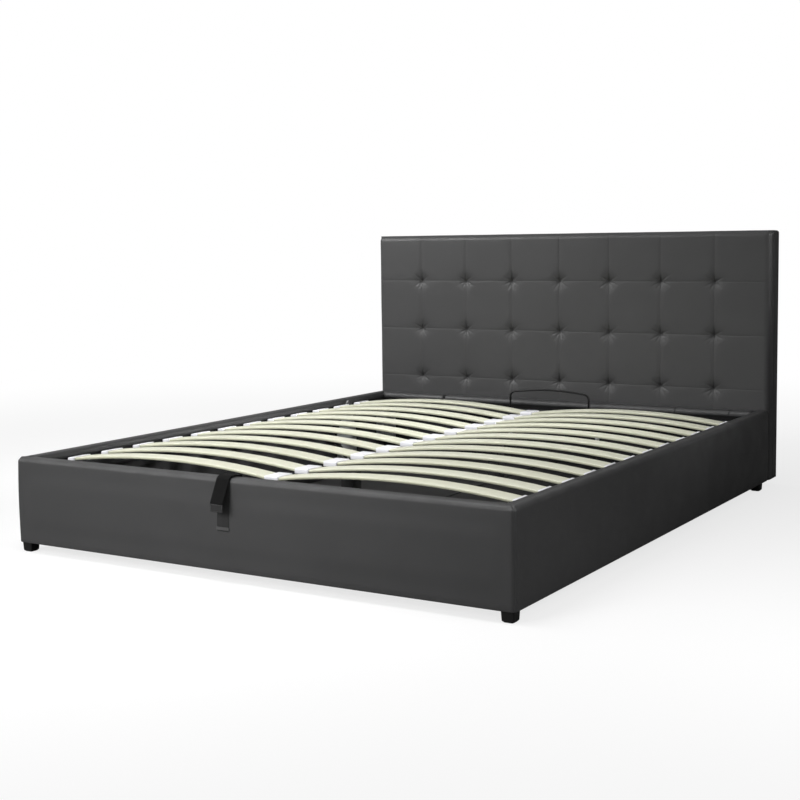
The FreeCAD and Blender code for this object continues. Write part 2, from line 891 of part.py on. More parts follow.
def caps(label, body_corners, slots):
    body = new_body(label)
    sketch = new_sketch(body, "XZ_Plane")
    outline(sketch, body_corners)
    shell = pad(body, sketch, d.slat_width + 2 * d.cap_wall, both_ways=True)
    slot_sketch = new_sketch(body, "XZ_Plane")
    for slot in slots:
        outline(slot_sketch, slot)
    slotted = pocket(body, slot_sketch, d.slat_width + 2 * d.soft_clearance, both_ways=True)
    row_of(body, [shell, slotted], "Y_Axis", row_length, d.slat_count)
    place(body, 0, first_slat_y, 0)
    return body


cap_level = slat_seat + d.slat_thickness + d.cap_floor
side_mouth = platform_half - d.side_cap_length
side_bodies = []
for name, side in (("left", -1), ("right", 1)):
    corners = [
        (side * side_mouth, d.platform_height),
        (side * platform_half, d.platform_height),
        (side * platform_half, cap_level),
        (side * side_mouth, cap_level + slat_rise(side_mouth)),
    ]
    slot = slot_outline(side, slat_outer + d.soft_clearance, side_mouth, side_mouth - over)
    side_bodies.append(caps(name + "_cap_row", corners, [slot]))
node(group("side_caps", side_bodies))
centre_mouth = d.centre_cap_length / 2
centre_top = cap_level + slat_rise(centre_mouth)
node(caps("centre_caps", [
    (-centre_mouth, d.platform_height),
    (centre_mouth, d.platform_height),
    (centre_mouth, centre_top),
    (-centre_mouth, centre_top),
], [slot_outline(side, slat_inner - d.soft_clearance, centre_mouth, centre_mouth + over) for side in (-1, 1)]))


# Lift mechanism: bracket on the rail, arm on the platform, pin and gas strut

strut_x = platform_half - d.strut_inset
strut_tip = strut_x - d.eye_width / 2 - d.soft_clearance - d.stud_cap_thickness
ear = d.ear_radius
pin_hole = d.hinge_pin_radius + d.pin_clearance


def stud(body, side, spot, length):
    """A stud square to the plate, reaching inward, with a retaining cap on its end."""
    shank = new_sketch(body, "YZ_Plane")
    ring(shank, spot[0], spot[1], d.stud_radius)
    pad(body, shank, length, back=side > 0)
    end = new_sketch(body, "YZ_Plane", -side * (length - d.stud_cap_thickness))
    ring(end, spot[0], spot[1], d.stud_cap_radius)
    pad(body, end, d.stud_cap_thickness, back=side > 0)


def lift_bracket(label, side):
    body = new_body(label)
    sketch = new_sketch(body, "YZ_Plane")
    bottom = -(base_drop + d.stud_margin)
    outline(sketch, [
        (-ear, 0),
        (0, ear, ear, "right"),
        (ear, 0, ear, "right"),
        (d.bracket_back, -d.bracket_shoulder_drop),
        (d.bracket_back, bottom),
        (-d.bracket_front, bottom),
        (-d.bracket_front, -d.bracket_shoulder_drop),
    ])
    ring(sketch, 0, 0, pin_hole)
    for across, up in bracket_holes:
        ring(sketch, across, up, screw_hole)
    pad(body, sketch, d.plate_thickness, back=side > 0)
    stud(body, side, (-base_run, -base_drop), rail_inner_x - strut_tip)
    place(body, side * rail_inner_x, hinge_y, hinge_z)
    return node(body)


def lift_arm(label, side):
    body = new_body(label)
    sketch = new_sketch(body, "YZ_Plane")
    low = -(d.hinge_rise + d.tube_size)
    front = -(stud_run + d.arm_front_margin)
    lobe = d.stud_drop + d.stud_margin
    outline(sketch, [
        (-ear, 0),
        (0, ear, ear, "right"),
        (ear, 0, ear, "right"),
        (ear, low),
        (d.stud_margin + d.arm_front_margin - stud_run, low),
        (d.stud_margin - stud_run, -lobe),
        (-d.stud_margin - stud_run, -lobe),
        (front, low),
        (front, -d.hinge_rise),
        (-ear - d.hinge_rise, -d.hinge_rise),
    ])
    ring(sketch, 0, 0, pin_hole)
    for y in arm_bolt_places:
        ring(sketch, y - hinge_y, low + tube_middle, screw_hole)
    pad(body, sketch, d.plate_thickness, back=side < 0)
    stud(body, side, (-stud_run, -d.stud_drop), platform_half - strut_tip)
    place(body, side * platform_half, hinge_y, hinge_z)
    return node(body)


def hinge_pin(label, side):
    """A shoulder pin along X: head, arm, spacing collar, bracket."""
    body = new_body(label)
    sketch = new_sketch(body, "XY_Plane")
    thin = d.hinge_pin_radius
    wide = d.hinge_head_radius
    collar = -d.plate_thickness
    arm = collar - d.plate_gap
    head = arm - d.plate_thickness
    end = head - d.hinge_head_height
    outline(sketch, [
        (0, 0), (0, thin), (collar, thin), (collar, wide), (arm, wide), (arm, thin),
        (head, thin), (head, wide), (end, wide), (end, 0),
    ])
    revolve(body, sketch, "X_Axis")
    place(body, side * rail_inner_x, hinge_y, hinge_z, 0 if side > 0 else 180)
    return node(body)


strut_angle = math.degrees(math.asin(d.stud_drop.value / d.strut_reach.value)) + d.strut_rest_angle.value / 2
strut_angle_text = "asin(%s / %s) + %s / 2 * 1 deg" % (
    d.stud_drop.text, d.strut_reach.text, d.strut_rest_angle.text)
neck_start = d.eye_radius - d.barrel_wall


def strut_part(label, side, corners, run, drop):
    """A turned part of the strut along its own Z, with an eye at its origin."""
    body = new_body(label)
    sketch = new_sketch(body, "XZ_Plane")
    outline(sketch, corners)
    revolve(body, sketch, "Z_Axis")
    eye = new_sketch(body, "YZ_Plane")
    ring(eye, 0, 0, d.eye_radius)
    pad(body, eye, d.eye_width, both_ways=True)
    hole = new_sketch(body, "YZ_Plane")
    ring(hole, 0, 0, d.stud_radius + d.pin_clearance)
    pocket(body, hole, d.eye_width + over, both_ways=True)
    place(body, side * strut_x, hinge_y - run, hinge_z - drop, strut_angle, V(1, 0, 0))
    body.setExpression("Placement.Rotation.Angle", strut_angle_text)
    return node(body)


def strut_barrel(label, side):
    neck = d.strut_neck_radius
    top = d.barrel_base + d.barrel_length
    bore = d.barrel_radius - d.barrel_wall
    guide = d.rod_radius + d.soft_clearance
    bottom = d.barrel_base + d.barrel_wall
    return strut_part(label, side, [
        (0, neck_start), (neck, neck_start), (neck, d.barrel_base), (d.barrel_radius, d.barrel_base),
        (d.barrel_radius, top), (guide, top), (guide, top - d.gland_length), (bore, top - d.gland_length),
        (bore, bottom), (0, bottom),
    ], base_run, base_drop)


def strut_rod(label, side):
    neck = d.strut_neck_radius
    piston = d.barrel_radius - d.barrel_wall - d.soft_clearance
    piston_top = d.piston_length - d.rod_length
    return strut_part(label, side, [
        (0, -neck_start), (neck, -neck_start), (neck, -d.rod_fitting), (d.rod_radius, -d.rod_fitting),
        (d.rod_radius, piston_top), (piston, piston_top), (piston, -d.rod_length), (0, -d.rod_length),
    ], stud_run, d.stud_drop)


for name, side in (("left", -1), ("right", 1)):
    lift_bracket(name + "_lift_bracket", side)
    lift_arm(name + "_lift_arm", side)
    hinge_pin(name + "_hinge_pin", side)
    strut_barrel(name + "_strut_barrel", side)
    strut_rod(name + "_strut_rod", side)
plate_seat = rail_inner_x - d.plate_thickness
node(copies("bracket_screws", wood_screw, [
    (side * plate_seat, y, high, -90 * side) for side in (-1, 1) for y, high in bracket_screws]))
arm_seat = platform_half + d.plate_thickness
node(copies("arm_bolts", arm_bolt, [
    (side * arm_seat, y, tube_bottom + tube_middle, 90 * side) for side in (-1, 1) for y in arm_bolt_places]))


# Mattress stop: one bent wire on two welded flanges

stop = node(new_body("mattress_stop"))
stop_half = d.stop_width / 2
bend = d.stop_bend_radius
arch = arc_radius(d.stop_width, d.stop_arch)
arch_centre = d.stop_height - arch
bend_run = stop_half - bend
bend_height = arch_centre + root((arch - bend) * (arch - bend) - bend_run * bend_run)
arch_share = arch / (arch - bend)
shoulder_run = bend_run * arch_share
shoulder_height = arch_centre + (bend_height - arch_centre) * arch_share
route = new_sketch(stop, "XZ_Plane")
outline(route, [
    (-stop_half, 0),
    (-stop_half, bend_height),
    (-shoulder_run, shoulder_height, bend, "right"),
    (shoulder_run, shoulder_height, arch, "right"),
    (stop_half, bend_height, bend, "right"),
    (stop_half, 0),
], closed=False)
wire = new_sketch(stop, "XY_Plane")
ring(wire, -stop_half, 0, d.stop_wire_radius)
doc.recompute()
bar = stop.newObject("PartDesign::AdditivePipe", "stop_wire")
bar.Profile = wire
bar.Spine = (route, ["Edge%d" % k for k in range(1, 6)])
doc.recompute()
flange = new_sketch(stop, "XY_Plane")
ring(flange, -stop_half, 0, d.stop_flange_radius)
ring(flange, stop_half, 0, d.stop_flange_radius)
pad(stop, flange, d.stop_flange_thickness)
place(stop, 0, platform_head_end - tube_middle, d.platform_height)


# Pull strap: webbing screwed to the foot tube, over the foot rail and down outside

web = d.strap_thickness
strap_half = d.strap_width / 2
strap_under = d.rail_top_height + d.rail_crown + d.soft_clearance
strap_hinge_y = foot_face + d.rail_thickness / 2
tube_face = platform_foot_end - web
curl = d.strap_bend_radius
anchor = node(new_body("strap_anchor"))
anchor_side = new_sketch(anchor, "YZ_Plane")
outline(anchor_side, [
    (platform_foot_end, tube_bottom + d.strap_tube_margin),
    (platform_foot_end, strap_under - curl),
    (tube_face - curl, strap_under + web, curl + web, "left"),
    (strap_hinge_y, strap_under + web),
    (strap_hinge_y, strap_under),
    (tube_face - curl, strap_under),
    (tube_face, strap_under - curl, curl, "right"),
    (tube_face, tube_bottom + d.strap_tube_margin),
])
pad(anchor, anchor_side, d.strap_width, both_ways=True)
place(anchor, d.strap_offset, 0, 0)

strap = node(new_body("pull_strap"))
fold_y = foot_face + d.rail_crown + d.rail_edge_radius
fold_z = d.rail_top_height - d.rail_edge_radius
fold = strap_under - fold_z
tail_start = strap_hinge_y - d.soft_clearance
fold_side = new_sketch(strap, "YZ_Plane")
outline(fold_side, [
    (tail_start, strap_under),
    (tail_start, strap_under + 2 * web),
    (fold_y, strap_under + 2 * web),
    (fold_y - fold - 2 * web, fold_z, fold + 2 * web, "left"),
    (fold_y - fold - 2 * web, fold_z - d.strap_join),
    (fold_y - fold, fold_z - d.strap_join),
    (fold_y - fold, fold_z),
    (fold_y, strap_under, fold, "right"),
])
pad(strap, fold_side, d.strap_width, both_ways=True)


def tail(layer, low, lean):
    """One hanging layer of the strap, leaning sideways as it falls."""
    plane = foot_face - d.soft_clearance - web * layer
    sketch = new_sketch(strap, "XZ_Plane", -plane)
    outline(sketch, [
        (-strap_half, fold_z),
        (strap_half, fold_z),
        (strap_half + lean, low),
        (lean - strap_half, low),
    ])
    pad(strap, sketch, web)


tail(0, d.strap_end_height, d.strap_lean)
tail(1, d.strap_flap_height, d.strap_flap_lean)
place(strap, d.strap_offset, 0, 0)


# Check every object, then write one file per node

doc.recompute()
for thing in doc.Objects:
    if "Invalid" in thing.State or "Error" in thing.State:
        raise RuntimeError("%s did not build: %s" % (thing.Label, thing.State))
for cut in cuts:
    if not cut.Shape.Volume < cut.BaseFeature.Shape.Volume:
        raise RuntimeError("%s removes nothing" % cut.Label)
for thing in nodes:
    if thing.Shape.isNull() or not thing.Shape.isValid():
        raise RuntimeError("%s has no valid shape" % thing.Label)
os.makedirs("parts", exist_ok=True)
for thing in nodes:
    thing.Shape.exportStep("parts/%s.step" % thing.Label)
print("%d nodes, %d solids" % (len(nodes), sum(len(thing.Shape.Solids) for thing in nodes)))
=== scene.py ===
# %% [markdown]
# # A gas-lift storage bed
# The bed is an upholstered box on short feet with a tufted headboard, and a frame of sprung
# slats that hinges up near the head end.  The construction model comes in as a fixed frame in
# metres, and each lesson below either dresses one of its parts or makes the soft or repeated
# piece that takes its place.

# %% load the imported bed
import json
import math
import bmesh
import bpy
import numpy as np
from mathutils import Matrix, Vector, noise


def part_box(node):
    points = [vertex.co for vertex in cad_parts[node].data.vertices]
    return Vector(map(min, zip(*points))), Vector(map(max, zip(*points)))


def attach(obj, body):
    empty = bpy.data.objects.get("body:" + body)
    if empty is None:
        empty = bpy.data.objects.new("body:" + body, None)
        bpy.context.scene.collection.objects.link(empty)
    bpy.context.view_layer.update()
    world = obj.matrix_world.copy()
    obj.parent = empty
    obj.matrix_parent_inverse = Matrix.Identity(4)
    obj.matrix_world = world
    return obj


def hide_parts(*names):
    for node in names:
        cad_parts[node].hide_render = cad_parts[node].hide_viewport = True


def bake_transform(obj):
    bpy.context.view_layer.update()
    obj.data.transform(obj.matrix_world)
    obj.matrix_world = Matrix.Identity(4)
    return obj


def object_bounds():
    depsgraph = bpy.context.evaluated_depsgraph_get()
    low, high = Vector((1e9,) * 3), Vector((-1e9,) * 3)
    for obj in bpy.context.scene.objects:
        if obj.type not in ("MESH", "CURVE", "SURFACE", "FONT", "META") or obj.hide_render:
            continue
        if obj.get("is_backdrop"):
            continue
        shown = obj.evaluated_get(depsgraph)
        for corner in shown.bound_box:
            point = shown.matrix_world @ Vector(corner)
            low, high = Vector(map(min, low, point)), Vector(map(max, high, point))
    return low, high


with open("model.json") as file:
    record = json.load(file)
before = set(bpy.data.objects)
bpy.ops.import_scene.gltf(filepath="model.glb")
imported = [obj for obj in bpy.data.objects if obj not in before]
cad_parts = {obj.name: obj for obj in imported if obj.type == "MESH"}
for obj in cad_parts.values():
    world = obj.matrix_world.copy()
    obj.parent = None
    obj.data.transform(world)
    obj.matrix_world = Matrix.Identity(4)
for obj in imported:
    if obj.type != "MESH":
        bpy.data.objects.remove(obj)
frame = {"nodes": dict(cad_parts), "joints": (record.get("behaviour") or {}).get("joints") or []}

MM = 0.001
cad_box = [list(corner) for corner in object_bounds()]
print("nodes", len(frame["nodes"]), "box", cad_box)

# %% [markdown]
# ## Camera
# The photograph was taken with a slightly long lens from about the height of the headboard's top,
# about 32 degrees round from the foot of the bed.  The place and the lens were worked out from the
# bed's edges in the picture.  The picture is cut a few dozen pixels off centre at most, which the
# two shifts hold.

# %% camera at the photograph's angle
PHOTO_PIXELS = 800
FOCAL_PIXELS = 1368.85
PRINCIPAL = (389.49, 365.67)
FILM_WIDTH = 36
camera_place = Vector((2.3047, -4.0286, 0.9259))
azimuth = math.radians(31.7153)
elevation = math.radians(5.074)
roll = math.radians(-0.7262)
back = Vector((math.sin(azimuth) * math.cos(elevation),
               -math.cos(azimuth) * math.cos(elevation), math.sin(elevation)))
level = Vector((math.cos(azimuth), math.sin(azimuth), 0))
upright = back.cross(level)
right = math.cos(roll) * level + math.sin(roll) * upright
up = math.cos(roll) * upright - math.sin(roll) * level
lens = bpy.data.cameras.new("photo_camera")
lens.sensor_width = FILM_WIDTH
lens.lens = FOCAL_PIXELS / PHOTO_PIXELS * FILM_WIDTH
lens.shift_x = (PHOTO_PIXELS / 2 - PRINCIPAL[0]) / PHOTO_PIXELS
lens.shift_y = (PRINCIPAL[1] - PHOTO_PIXELS / 2) / PHOTO_PIXELS
camera = bpy.data.objects.new("photo_camera", lens)
turn = Matrix((right, up, back)).transposed().to_4x4()
camera.matrix_world = Matrix.Translation(camera_place) @ turn
bpy.context.scene.collection.objects.link(camera)
bpy.context.scene.camera = camera
print("lens", round(lens.lens, 2), "mm")

# %% [markdown]
# ## Floor and studio light
# The bed stands on a plain pale floor under a sky that is brighter on the left than on the right.
# One helper adds a node and sets its inputs, and every tree of this lesson is built with it.

# %% floor
scene = bpy.context.scene
scene.view_settings.view_transform = "Standard"
FLOOR_HALF = 30.0
floor_mesh = bpy.data.meshes.new("studio_floor")
floor_mesh.from_pydata([(x * FLOOR_HALF, y * FLOOR_HALF, 0)
                        for x, y in ((-1, -1), (1, -1), (1, 1), (-1, 1))], [], [(0, 1, 2, 3)])
floor = bpy.data.objects.new("studio_floor", floor_mesh)
scene.collection.objects.link(floor)
floor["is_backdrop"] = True


def add_node(tree, kind, **settings):
    """A node with its properties and inputs set; a socket given as a value is linked.

    An input is named as it is in the node, with _ for a space, or I and its number.
    """
    made = tree.nodes.new(kind)
    sockets = {}
    for key, value in settings.items():
        if hasattr(made, key) and not key[0].isupper():
            setattr(made, key, value)
        else:
            sockets[key] = value
    for key, value in sockets.items():
        numbered = key[0] == "I" and key[1:].isdigit()
        socket = made.inputs[int(key[1:]) if numbered else key.replace("_", " ")]
        if isinstance(value, bpy.types.NodeSocket):
            tree.links.new(value, socket)
        else:
            socket.default_value = value
    return made


print("floor", 2 * FLOOR_HALF, "m wide")

# %% sky
WHITE = (1, 1, 1, 1)
BRIGHT_WAY = Vector((-0.80, -0.55, 0.25))
DIM_END, BRIGHT_END = -0.62, 1.0
DIM_SKY, BRIGHT_SKY = 0.05, 0.72
sky = bpy.data.worlds.new("studio_sky")
sky.use_nodes = True
sky_tree = sky.node_tree
sky_tree.nodes.clear()
way = add_node(sky_tree, "ShaderNodeTexCoord")
toward = add_node(sky_tree, "ShaderNodeVectorMath", operation="DOT_PRODUCT",
                  I0=way.outputs["Generated"], I1=BRIGHT_WAY)
side_light = add_node(sky_tree, "ShaderNodeMapRange", Value=toward.outputs["Value"],
                      From_Min=DIM_END, From_Max=BRIGHT_END, To_Min=DIM_SKY, To_Max=BRIGHT_SKY)
soft_sky = add_node(sky_tree, "ShaderNodeBackground", Color=WHITE, Strength=side_light.outputs[0])
white_sky = add_node(sky_tree, "ShaderNodeBackground", Color=WHITE, Strength=1.0)
seen = add_node(sky_tree, "ShaderNodeLightPath")
sky_mix = add_node(sky_tree, "ShaderNodeMixShader", I0=seen.outputs["Is Camera Ray"],
                   I1=soft_sky.outputs[0], I2=white_sky.outputs[0])
add_node(sky_tree, "ShaderNodeOutputWorld", Surface=sky_mix.outputs[0])
scene.world = sky
print("sky from", DIM_SKY, "to", BRIGHT_SKY)

# %% [markdown]
# Dark upholstery shows its shape by what it mirrors, so the lamps are soft area lights, like the
# softboxes of a studio.  A narrow spread, in degrees, keeps a lamp on its own part of the bed: the
# headboard from the left, the foot from the front left, the near slats from above, and from the
# right the near side and the inside of the far rail.  One lamp high overhead draws the bright line
# along each rounded edge.

# %% lamps
def softbox(name, place, target, width, height, watts, spread=180):
    """A rectangular lamp at a place, facing its target; sizes in metres."""
    light = bpy.data.lights.new(name, "AREA")
    light.shape = "RECTANGLE"
    light.size = width
    light.size_y = height
    light.energy = watts
    light.spread = math.radians(spread)
    lamp = bpy.data.objects.new(name, light)
    lamp.location = place
    lamp.rotation_euler = (Vector(target) - Vector(place)).to_track_quat("-Z", "Y").to_euler()
    scene.collection.objects.link(lamp)


softbox("headboard_softbox", (-2.5, -1.3, 2.4), (-1.0, 1.0, 0.8), 1.6, 1.2, 24, 80)
softbox("left_softbox", (-1.2, -3.9, 1.4), (-0.5, -1.4, -0.3), 2.2, 1.8, 17, 60)
softbox("top_softbox", (-0.6, 0.2, 4.2), (-0.1, 0.2, 0), 3.0, 3.0, 12)
softbox("bed_softbox", (0.0, -1.3, 2.4), (0.0, -1.15, 0.3), 1.2, 0.5, 7.5, 80)
softbox("corner_softbox", (2.0, -1.0, 0.9), (0.85, -1.0, 0.2), 0.6, 0.6, 8.0)
softbox("rail_softbox", (2.2, 0.7, 1.35), (-0.85, 0.0, 0.28), 0.8, 0.5, 6, 36)

# %% [markdown]
# ## Finishes
# Every finish is made of shader nodes on the object's own coordinates, so that it stays with the
# piece from any side.  A small helper starts a material and gives its shader back.  Colours and
# roughness that are the same all over are set on the shader itself, and others mix two tones by a
# noise, whose scale says how many of its waves go into a metre.

# %% helpers for finishes
def new_finish(name, roughness=0.5, metallic=0.0, **constants):
    """A material, its tree, its shader and the object coordinates."""
    finish = bpy.data.materials.new(name)
    finish.use_nodes = True
    tree = finish.node_tree
    shader = tree.nodes["Principled BSDF"]
    shader.inputs["Roughness"].default_value = roughness
    shader.inputs["Metallic"].default_value = metallic
    for key, value in constants.items():
        shader.inputs[key.replace("_", " ")].default_value = value
    place = add_node(tree, "ShaderNodeTexCoord").outputs["Object"]
    return finish, tree, shader, place


MIX_FIRST, MIX_SECOND, MIX_RESULT = 6, 7, 2


def blend_colours(tree, factor, first, second):
    """A mix of two colours, each a triple or another node's socket."""
    made = add_node(tree, "ShaderNodeMix", data_type="RGBA", Factor=factor)
    for number, colour in ((MIX_FIRST, first), (MIX_SECOND, second)):
        socket = made.inputs[number]
        if isinstance(colour, bpy.types.NodeSocket):
            tree.links.new(colour, socket)
        else:
            socket.default_value = (*colour, 1)
    return made.outputs[MIX_RESULT]


def spread(tree, value, low, high, start=0.0, end=1.0):
    """A value that goes from start to end, stretched to go from low to high."""
    return add_node(tree, "ShaderNodeMapRange", Value=value, From_Min=start, From_Max=end,
                    To_Min=low, To_Max=high).outputs[0]


def bump(tree, shader, height, depth, strength):
    """Let a height, up to depth metres, change how the surface takes the light."""
    made = add_node(tree, "ShaderNodeBump", Height=height, Distance=depth, Strength=strength)
    tree.links.new(made.outputs[0], shader.inputs["Normal"])


def grainy(tree, place, scale, detail=2.0, stretch=None):
    """An even noise, or one drawn out along an axis by a stretch."""
    if stretch:
        place = add_node(tree, "ShaderNodeMapping", Vector=place, Scale=stretch).outputs[0]
    return add_node(tree, "ShaderNodeTexNoise", Vector=place, Scale=scale, Detail=detail).outputs[0]


print("finish helpers ready")

# %% [markdown]
# ### Pale floor
# In the picture the floor runs into the white behind it, with a soft shadow under the bed.  So it
# glows for the camera, least close to the bed.  Towards the bed it throws back much less light than
# its paleness would, because the lower edges of the photographed rails stay dark.

# %% floor finish
BOUNCE = (0.25, 0.25, 0.25)
SWEEP_START, SWEEP_END = 1.0, 5.5
SWEEP_GLOW = 0.75
floor_finish, tree, shader, place = new_finish("pale_floor", 0.7, Specular_IOR_Level=0.1)
first_look = add_node(tree, "ShaderNodeLightPath").outputs["Is Camera Ray"]
tone = blend_colours(tree, grainy(tree, place, 1.2), (0.87, 0.87, 0.87), (0.9, 0.9, 0.9))
tree.links.new(blend_colours(tree, first_look, BOUNCE, tone), shader.inputs["Base Color"])
far = add_node(tree, "ShaderNodeVectorMath", operation="LENGTH", I0=place)
fade = add_node(tree, "ShaderNodeMapRange", interpolation_type="SMOOTHSTEP",
                Value=far.outputs["Value"], From_Min=SWEEP_START, From_Max=SWEEP_END,
                To_Min=SWEEP_GLOW, To_Max=1.0)
glow = add_node(tree, "ShaderNodeEmission", Color=WHITE, Strength=1.0)
shown_fade = add_node(tree, "ShaderNodeMath", operation="MULTIPLY", I0=fade.outputs[0],
                      I1=first_look)
sweep = add_node(tree, "ShaderNodeMixShader", I0=shown_fade.outputs[0], I1=shader.outputs[0],
                 I2=glow.outputs[0])
tree.links.new(sweep.outputs[0], tree.nodes["Material Output"].inputs["Surface"])
floor.data.materials.append(floor_finish)
print("floor dressed")

# %% [markdown]
# ### Charcoal faux leather
# The cover is a coated cloth with a fine pebble grain.  The grain is a cell pattern about a
# millimetre across, drawn as height only, and two slow noises vary the tone and the shine as
# pressed and stretched areas do.  A stored value lightens the upper edges: partly wear where hands
# rub, partly a painted highlight where the rounded edges catch the light.

# %% faux leather
LEATHER_DARK, LEATHER_PALE = (0.031, 0.031, 0.0315), (0.038, 0.038, 0.0385)
# the pale edge tone is partly wear and partly a painted highlight
LEATHER_WEAR_AND_HIGHLIGHT = (0.075, 0.075, 0.076)
PEBBLE_DEPTH = 0.18 * MM
leather, tree, shader, place = new_finish("charcoal_faux_leather", Specular_IOR_Level=0.42)
pebbles = add_node(tree, "ShaderNodeTexVoronoi", Vector=place, Scale=850.0,
                   feature="DISTANCE_TO_EDGE")
creasing = grainy(tree, place, 240.0, 4.0)
height = add_node(tree, "ShaderNodeMath", operation="ADD",
                  I0=spread(tree, pebbles.outputs["Distance"], 0.0, 1.0, 0.0, 0.25),
                  I1=spread(tree, creasing, 0.0, 0.7))
bump(tree, shader, height.outputs[0], PEBBLE_DEPTH, 0.55)
cloudy = grainy(tree, place, 3.5, 3.0)
# the stored value lightens the rounded edges: partly wear, partly a painted highlight
wear_and_highlight = add_node(tree, "ShaderNodeAttribute", attribute_name="wear_and_highlight").outputs["Fac"]
tone = blend_colours(tree, cloudy, LEATHER_DARK, LEATHER_PALE)
tone = blend_colours(tree, wear_and_highlight, tone, LEATHER_WEAR_AND_HIGHLIGHT)
tree.links.new(tone, shader.inputs["Base Color"])
shine = spread(tree, grainy(tree, place, 9.0, 4.0), 0.40, 0.52, 0.3, 0.7)
tree.links.new(shine, shader.inputs["Roughness"])
print(leather.name)

# %% [markdown]
# ### Lining and webbing
# The inside of the box and the back of the headboard are lined with black non-woven cloth, which
# has a faint dimpled emboss.  The webbing of the pull strap is woven in ribs, which follow the
# tape, so that pattern reads the tape's own map.

# %% cloth finishes
lining, tree, shader, place = new_finish("black_lining", 0.9)
dimples = add_node(tree, "ShaderNodeTexVoronoi", Vector=place, Scale=420.0)
fuzz = grainy(tree, place, 60.0, 6.0)
bump(tree, shader, dimples.outputs["Distance"], 0.3 * MM, 0.6)
tree.links.new(blend_colours(tree, fuzz, (0.008, 0.008, 0.008), (0.020, 0.020, 0.021)),
               shader.inputs["Base Color"])


def woven(name, dark, pale):
    """Webbing between two greys: ribs along the tape, rows across it."""
    made, tree, shader = new_finish(name, 0.8, Specular_IOR_Level=0.15)[:3]
    along = add_node(tree, "ShaderNodeUVMap", uv_map="tape").outputs[0]
    ribs = add_node(tree, "ShaderNodeTexWave", Vector=along, Scale=190.0, bands_direction="Y",
                    Distortion=0.4)
    rows = add_node(tree, "ShaderNodeTexWave", Vector=along, Scale=150.0, bands_direction="X")
    weave = add_node(tree, "ShaderNodeMath", operation="ADD", I0=ribs.outputs["Fac"],
                     I1=rows.outputs["Fac"]).outputs[0]
    bump(tree, shader, weave, 0.4 * MM, 0.8)
    tone = blend_colours(tree, spread(tree, weave, 0, 1, 0, 2), (dark,) * 3, (pale,) * 3)
    tree.links.new(tone, shader.inputs["Base Color"])
    return made


black_webbing = woven("black_webbing", 0.001, 0.004)
grey_webbing = woven("charcoal_webbing", 0.025, 0.041)
hem_tape = woven("grey_hem_tape", 0.065, 0.095)
print("cloths", lining.name, black_webbing.name, grey_webbing.name, hem_tape.name)

# %% [markdown]
# ### Boards and timber
# Boards and timber mostly hide under the cover, but they are still finished: chipboard is flecked,
# pine has long grain, and the hardboard of the storage floor is black, darkened further as painted
# shade inside the box.

# %% board finishes
def board_finish(name, dark, pale, stretch, scale, roughness):
    """A board between two tones, its grain drawn out by a stretch."""
    made, tree, shader, place = new_finish(name, roughness)
    grain = grainy(tree, place, scale, 8.0, stretch)
    tree.links.new(blend_colours(tree, spread(tree, grain, 0, 1, 0.3, 0.7), dark, pale),
                   shader.inputs["Base Color"])
    bump(tree, shader, grain, 0.6 * MM, 0.4)
    return made


EVEN = (1, 1, 1)
ALONG_X = (2, 9, 9)
chipboard = board_finish("flecked_chipboard", (0.33, 0.22, 0.12), (0.60, 0.46, 0.30),
                         EVEN, 180.0, 0.8)
pine = board_finish("sawn_pine", (0.52, 0.34, 0.17), (0.74, 0.58, 0.36), ALONG_X, 6.0, 0.7)
# near black: the hardboard's own black, darkened further as painted shade inside the box
black_board_with_painted_shade = board_finish("black_hardboard_with_painted_shade", (0.009, 0.009, 0.009), (0.019, 0.019, 0.019),
                           EVEN, 40.0, 0.6)
print("boards", chipboard.name, pine.name, black_board_with_painted_shade.name)

# %% [markdown]
# ### Metal and plastic
# The frame, the lift's arms and its pins are powder coated, which dries to a fine orange peel; on
# the pins the black also stands in as painted shade.  Screws and brackets are zinc plated, dull and
# mottled, and their grey is darkened by about a third as painted shade for the brackets deep in the
# box.  The strut rods are hard chrome with faint turning marks.  Feet and slat caps are moulded,
# with a soft satin skin, and the wire that stops the mattress is dipped in the same black plastic
# as the feet.

# %% metal and plastic finishes
powder_coat, tree, shader, place = new_finish("black_powder_coat", 0.42, Specular_IOR_Level=0.5)
peel = grainy(tree, place, 380.0, 3.0)
bump(tree, shader, peel, 0.2 * MM, 0.5)
cloudy = grainy(tree, place, 14.0, 4.0)
tone = blend_colours(tree, cloudy, (0.012, 0.012, 0.013), (0.024, 0.024, 0.025))
tree.links.new(tone, shader.inputs["Base Color"])

# the zinc grey is darkened by about a third: painted shade for the brackets deep in the box
zinc_with_painted_shade, tree, shader, place = new_finish("zinc_plate_with_painted_shade", metallic=0.45)
mottle = grainy(tree, place, 90.0, 5.0)
tone = blend_colours(tree, mottle, (0.36, 0.37, 0.37), (0.50, 0.51, 0.50))
tree.links.new(tone, shader.inputs["Base Color"])
tree.links.new(spread(tree, mottle, 0.40, 0.58, 0.3, 0.7), shader.inputs["Roughness"])

chrome, tree, shader, place = new_finish("hard_chrome", metallic=1.0)
rings = grainy(tree, place, 900.0, 2.0)
tone = blend_colours(tree, rings, (0.66, 0.66, 0.68), (0.78, 0.78, 0.79))
tree.links.new(tone, shader.inputs["Base Color"])
tree.links.new(spread(tree, rings, 0.08, 0.16), shader.inputs["Roughness"])

SHINE_SPREAD = 0.06


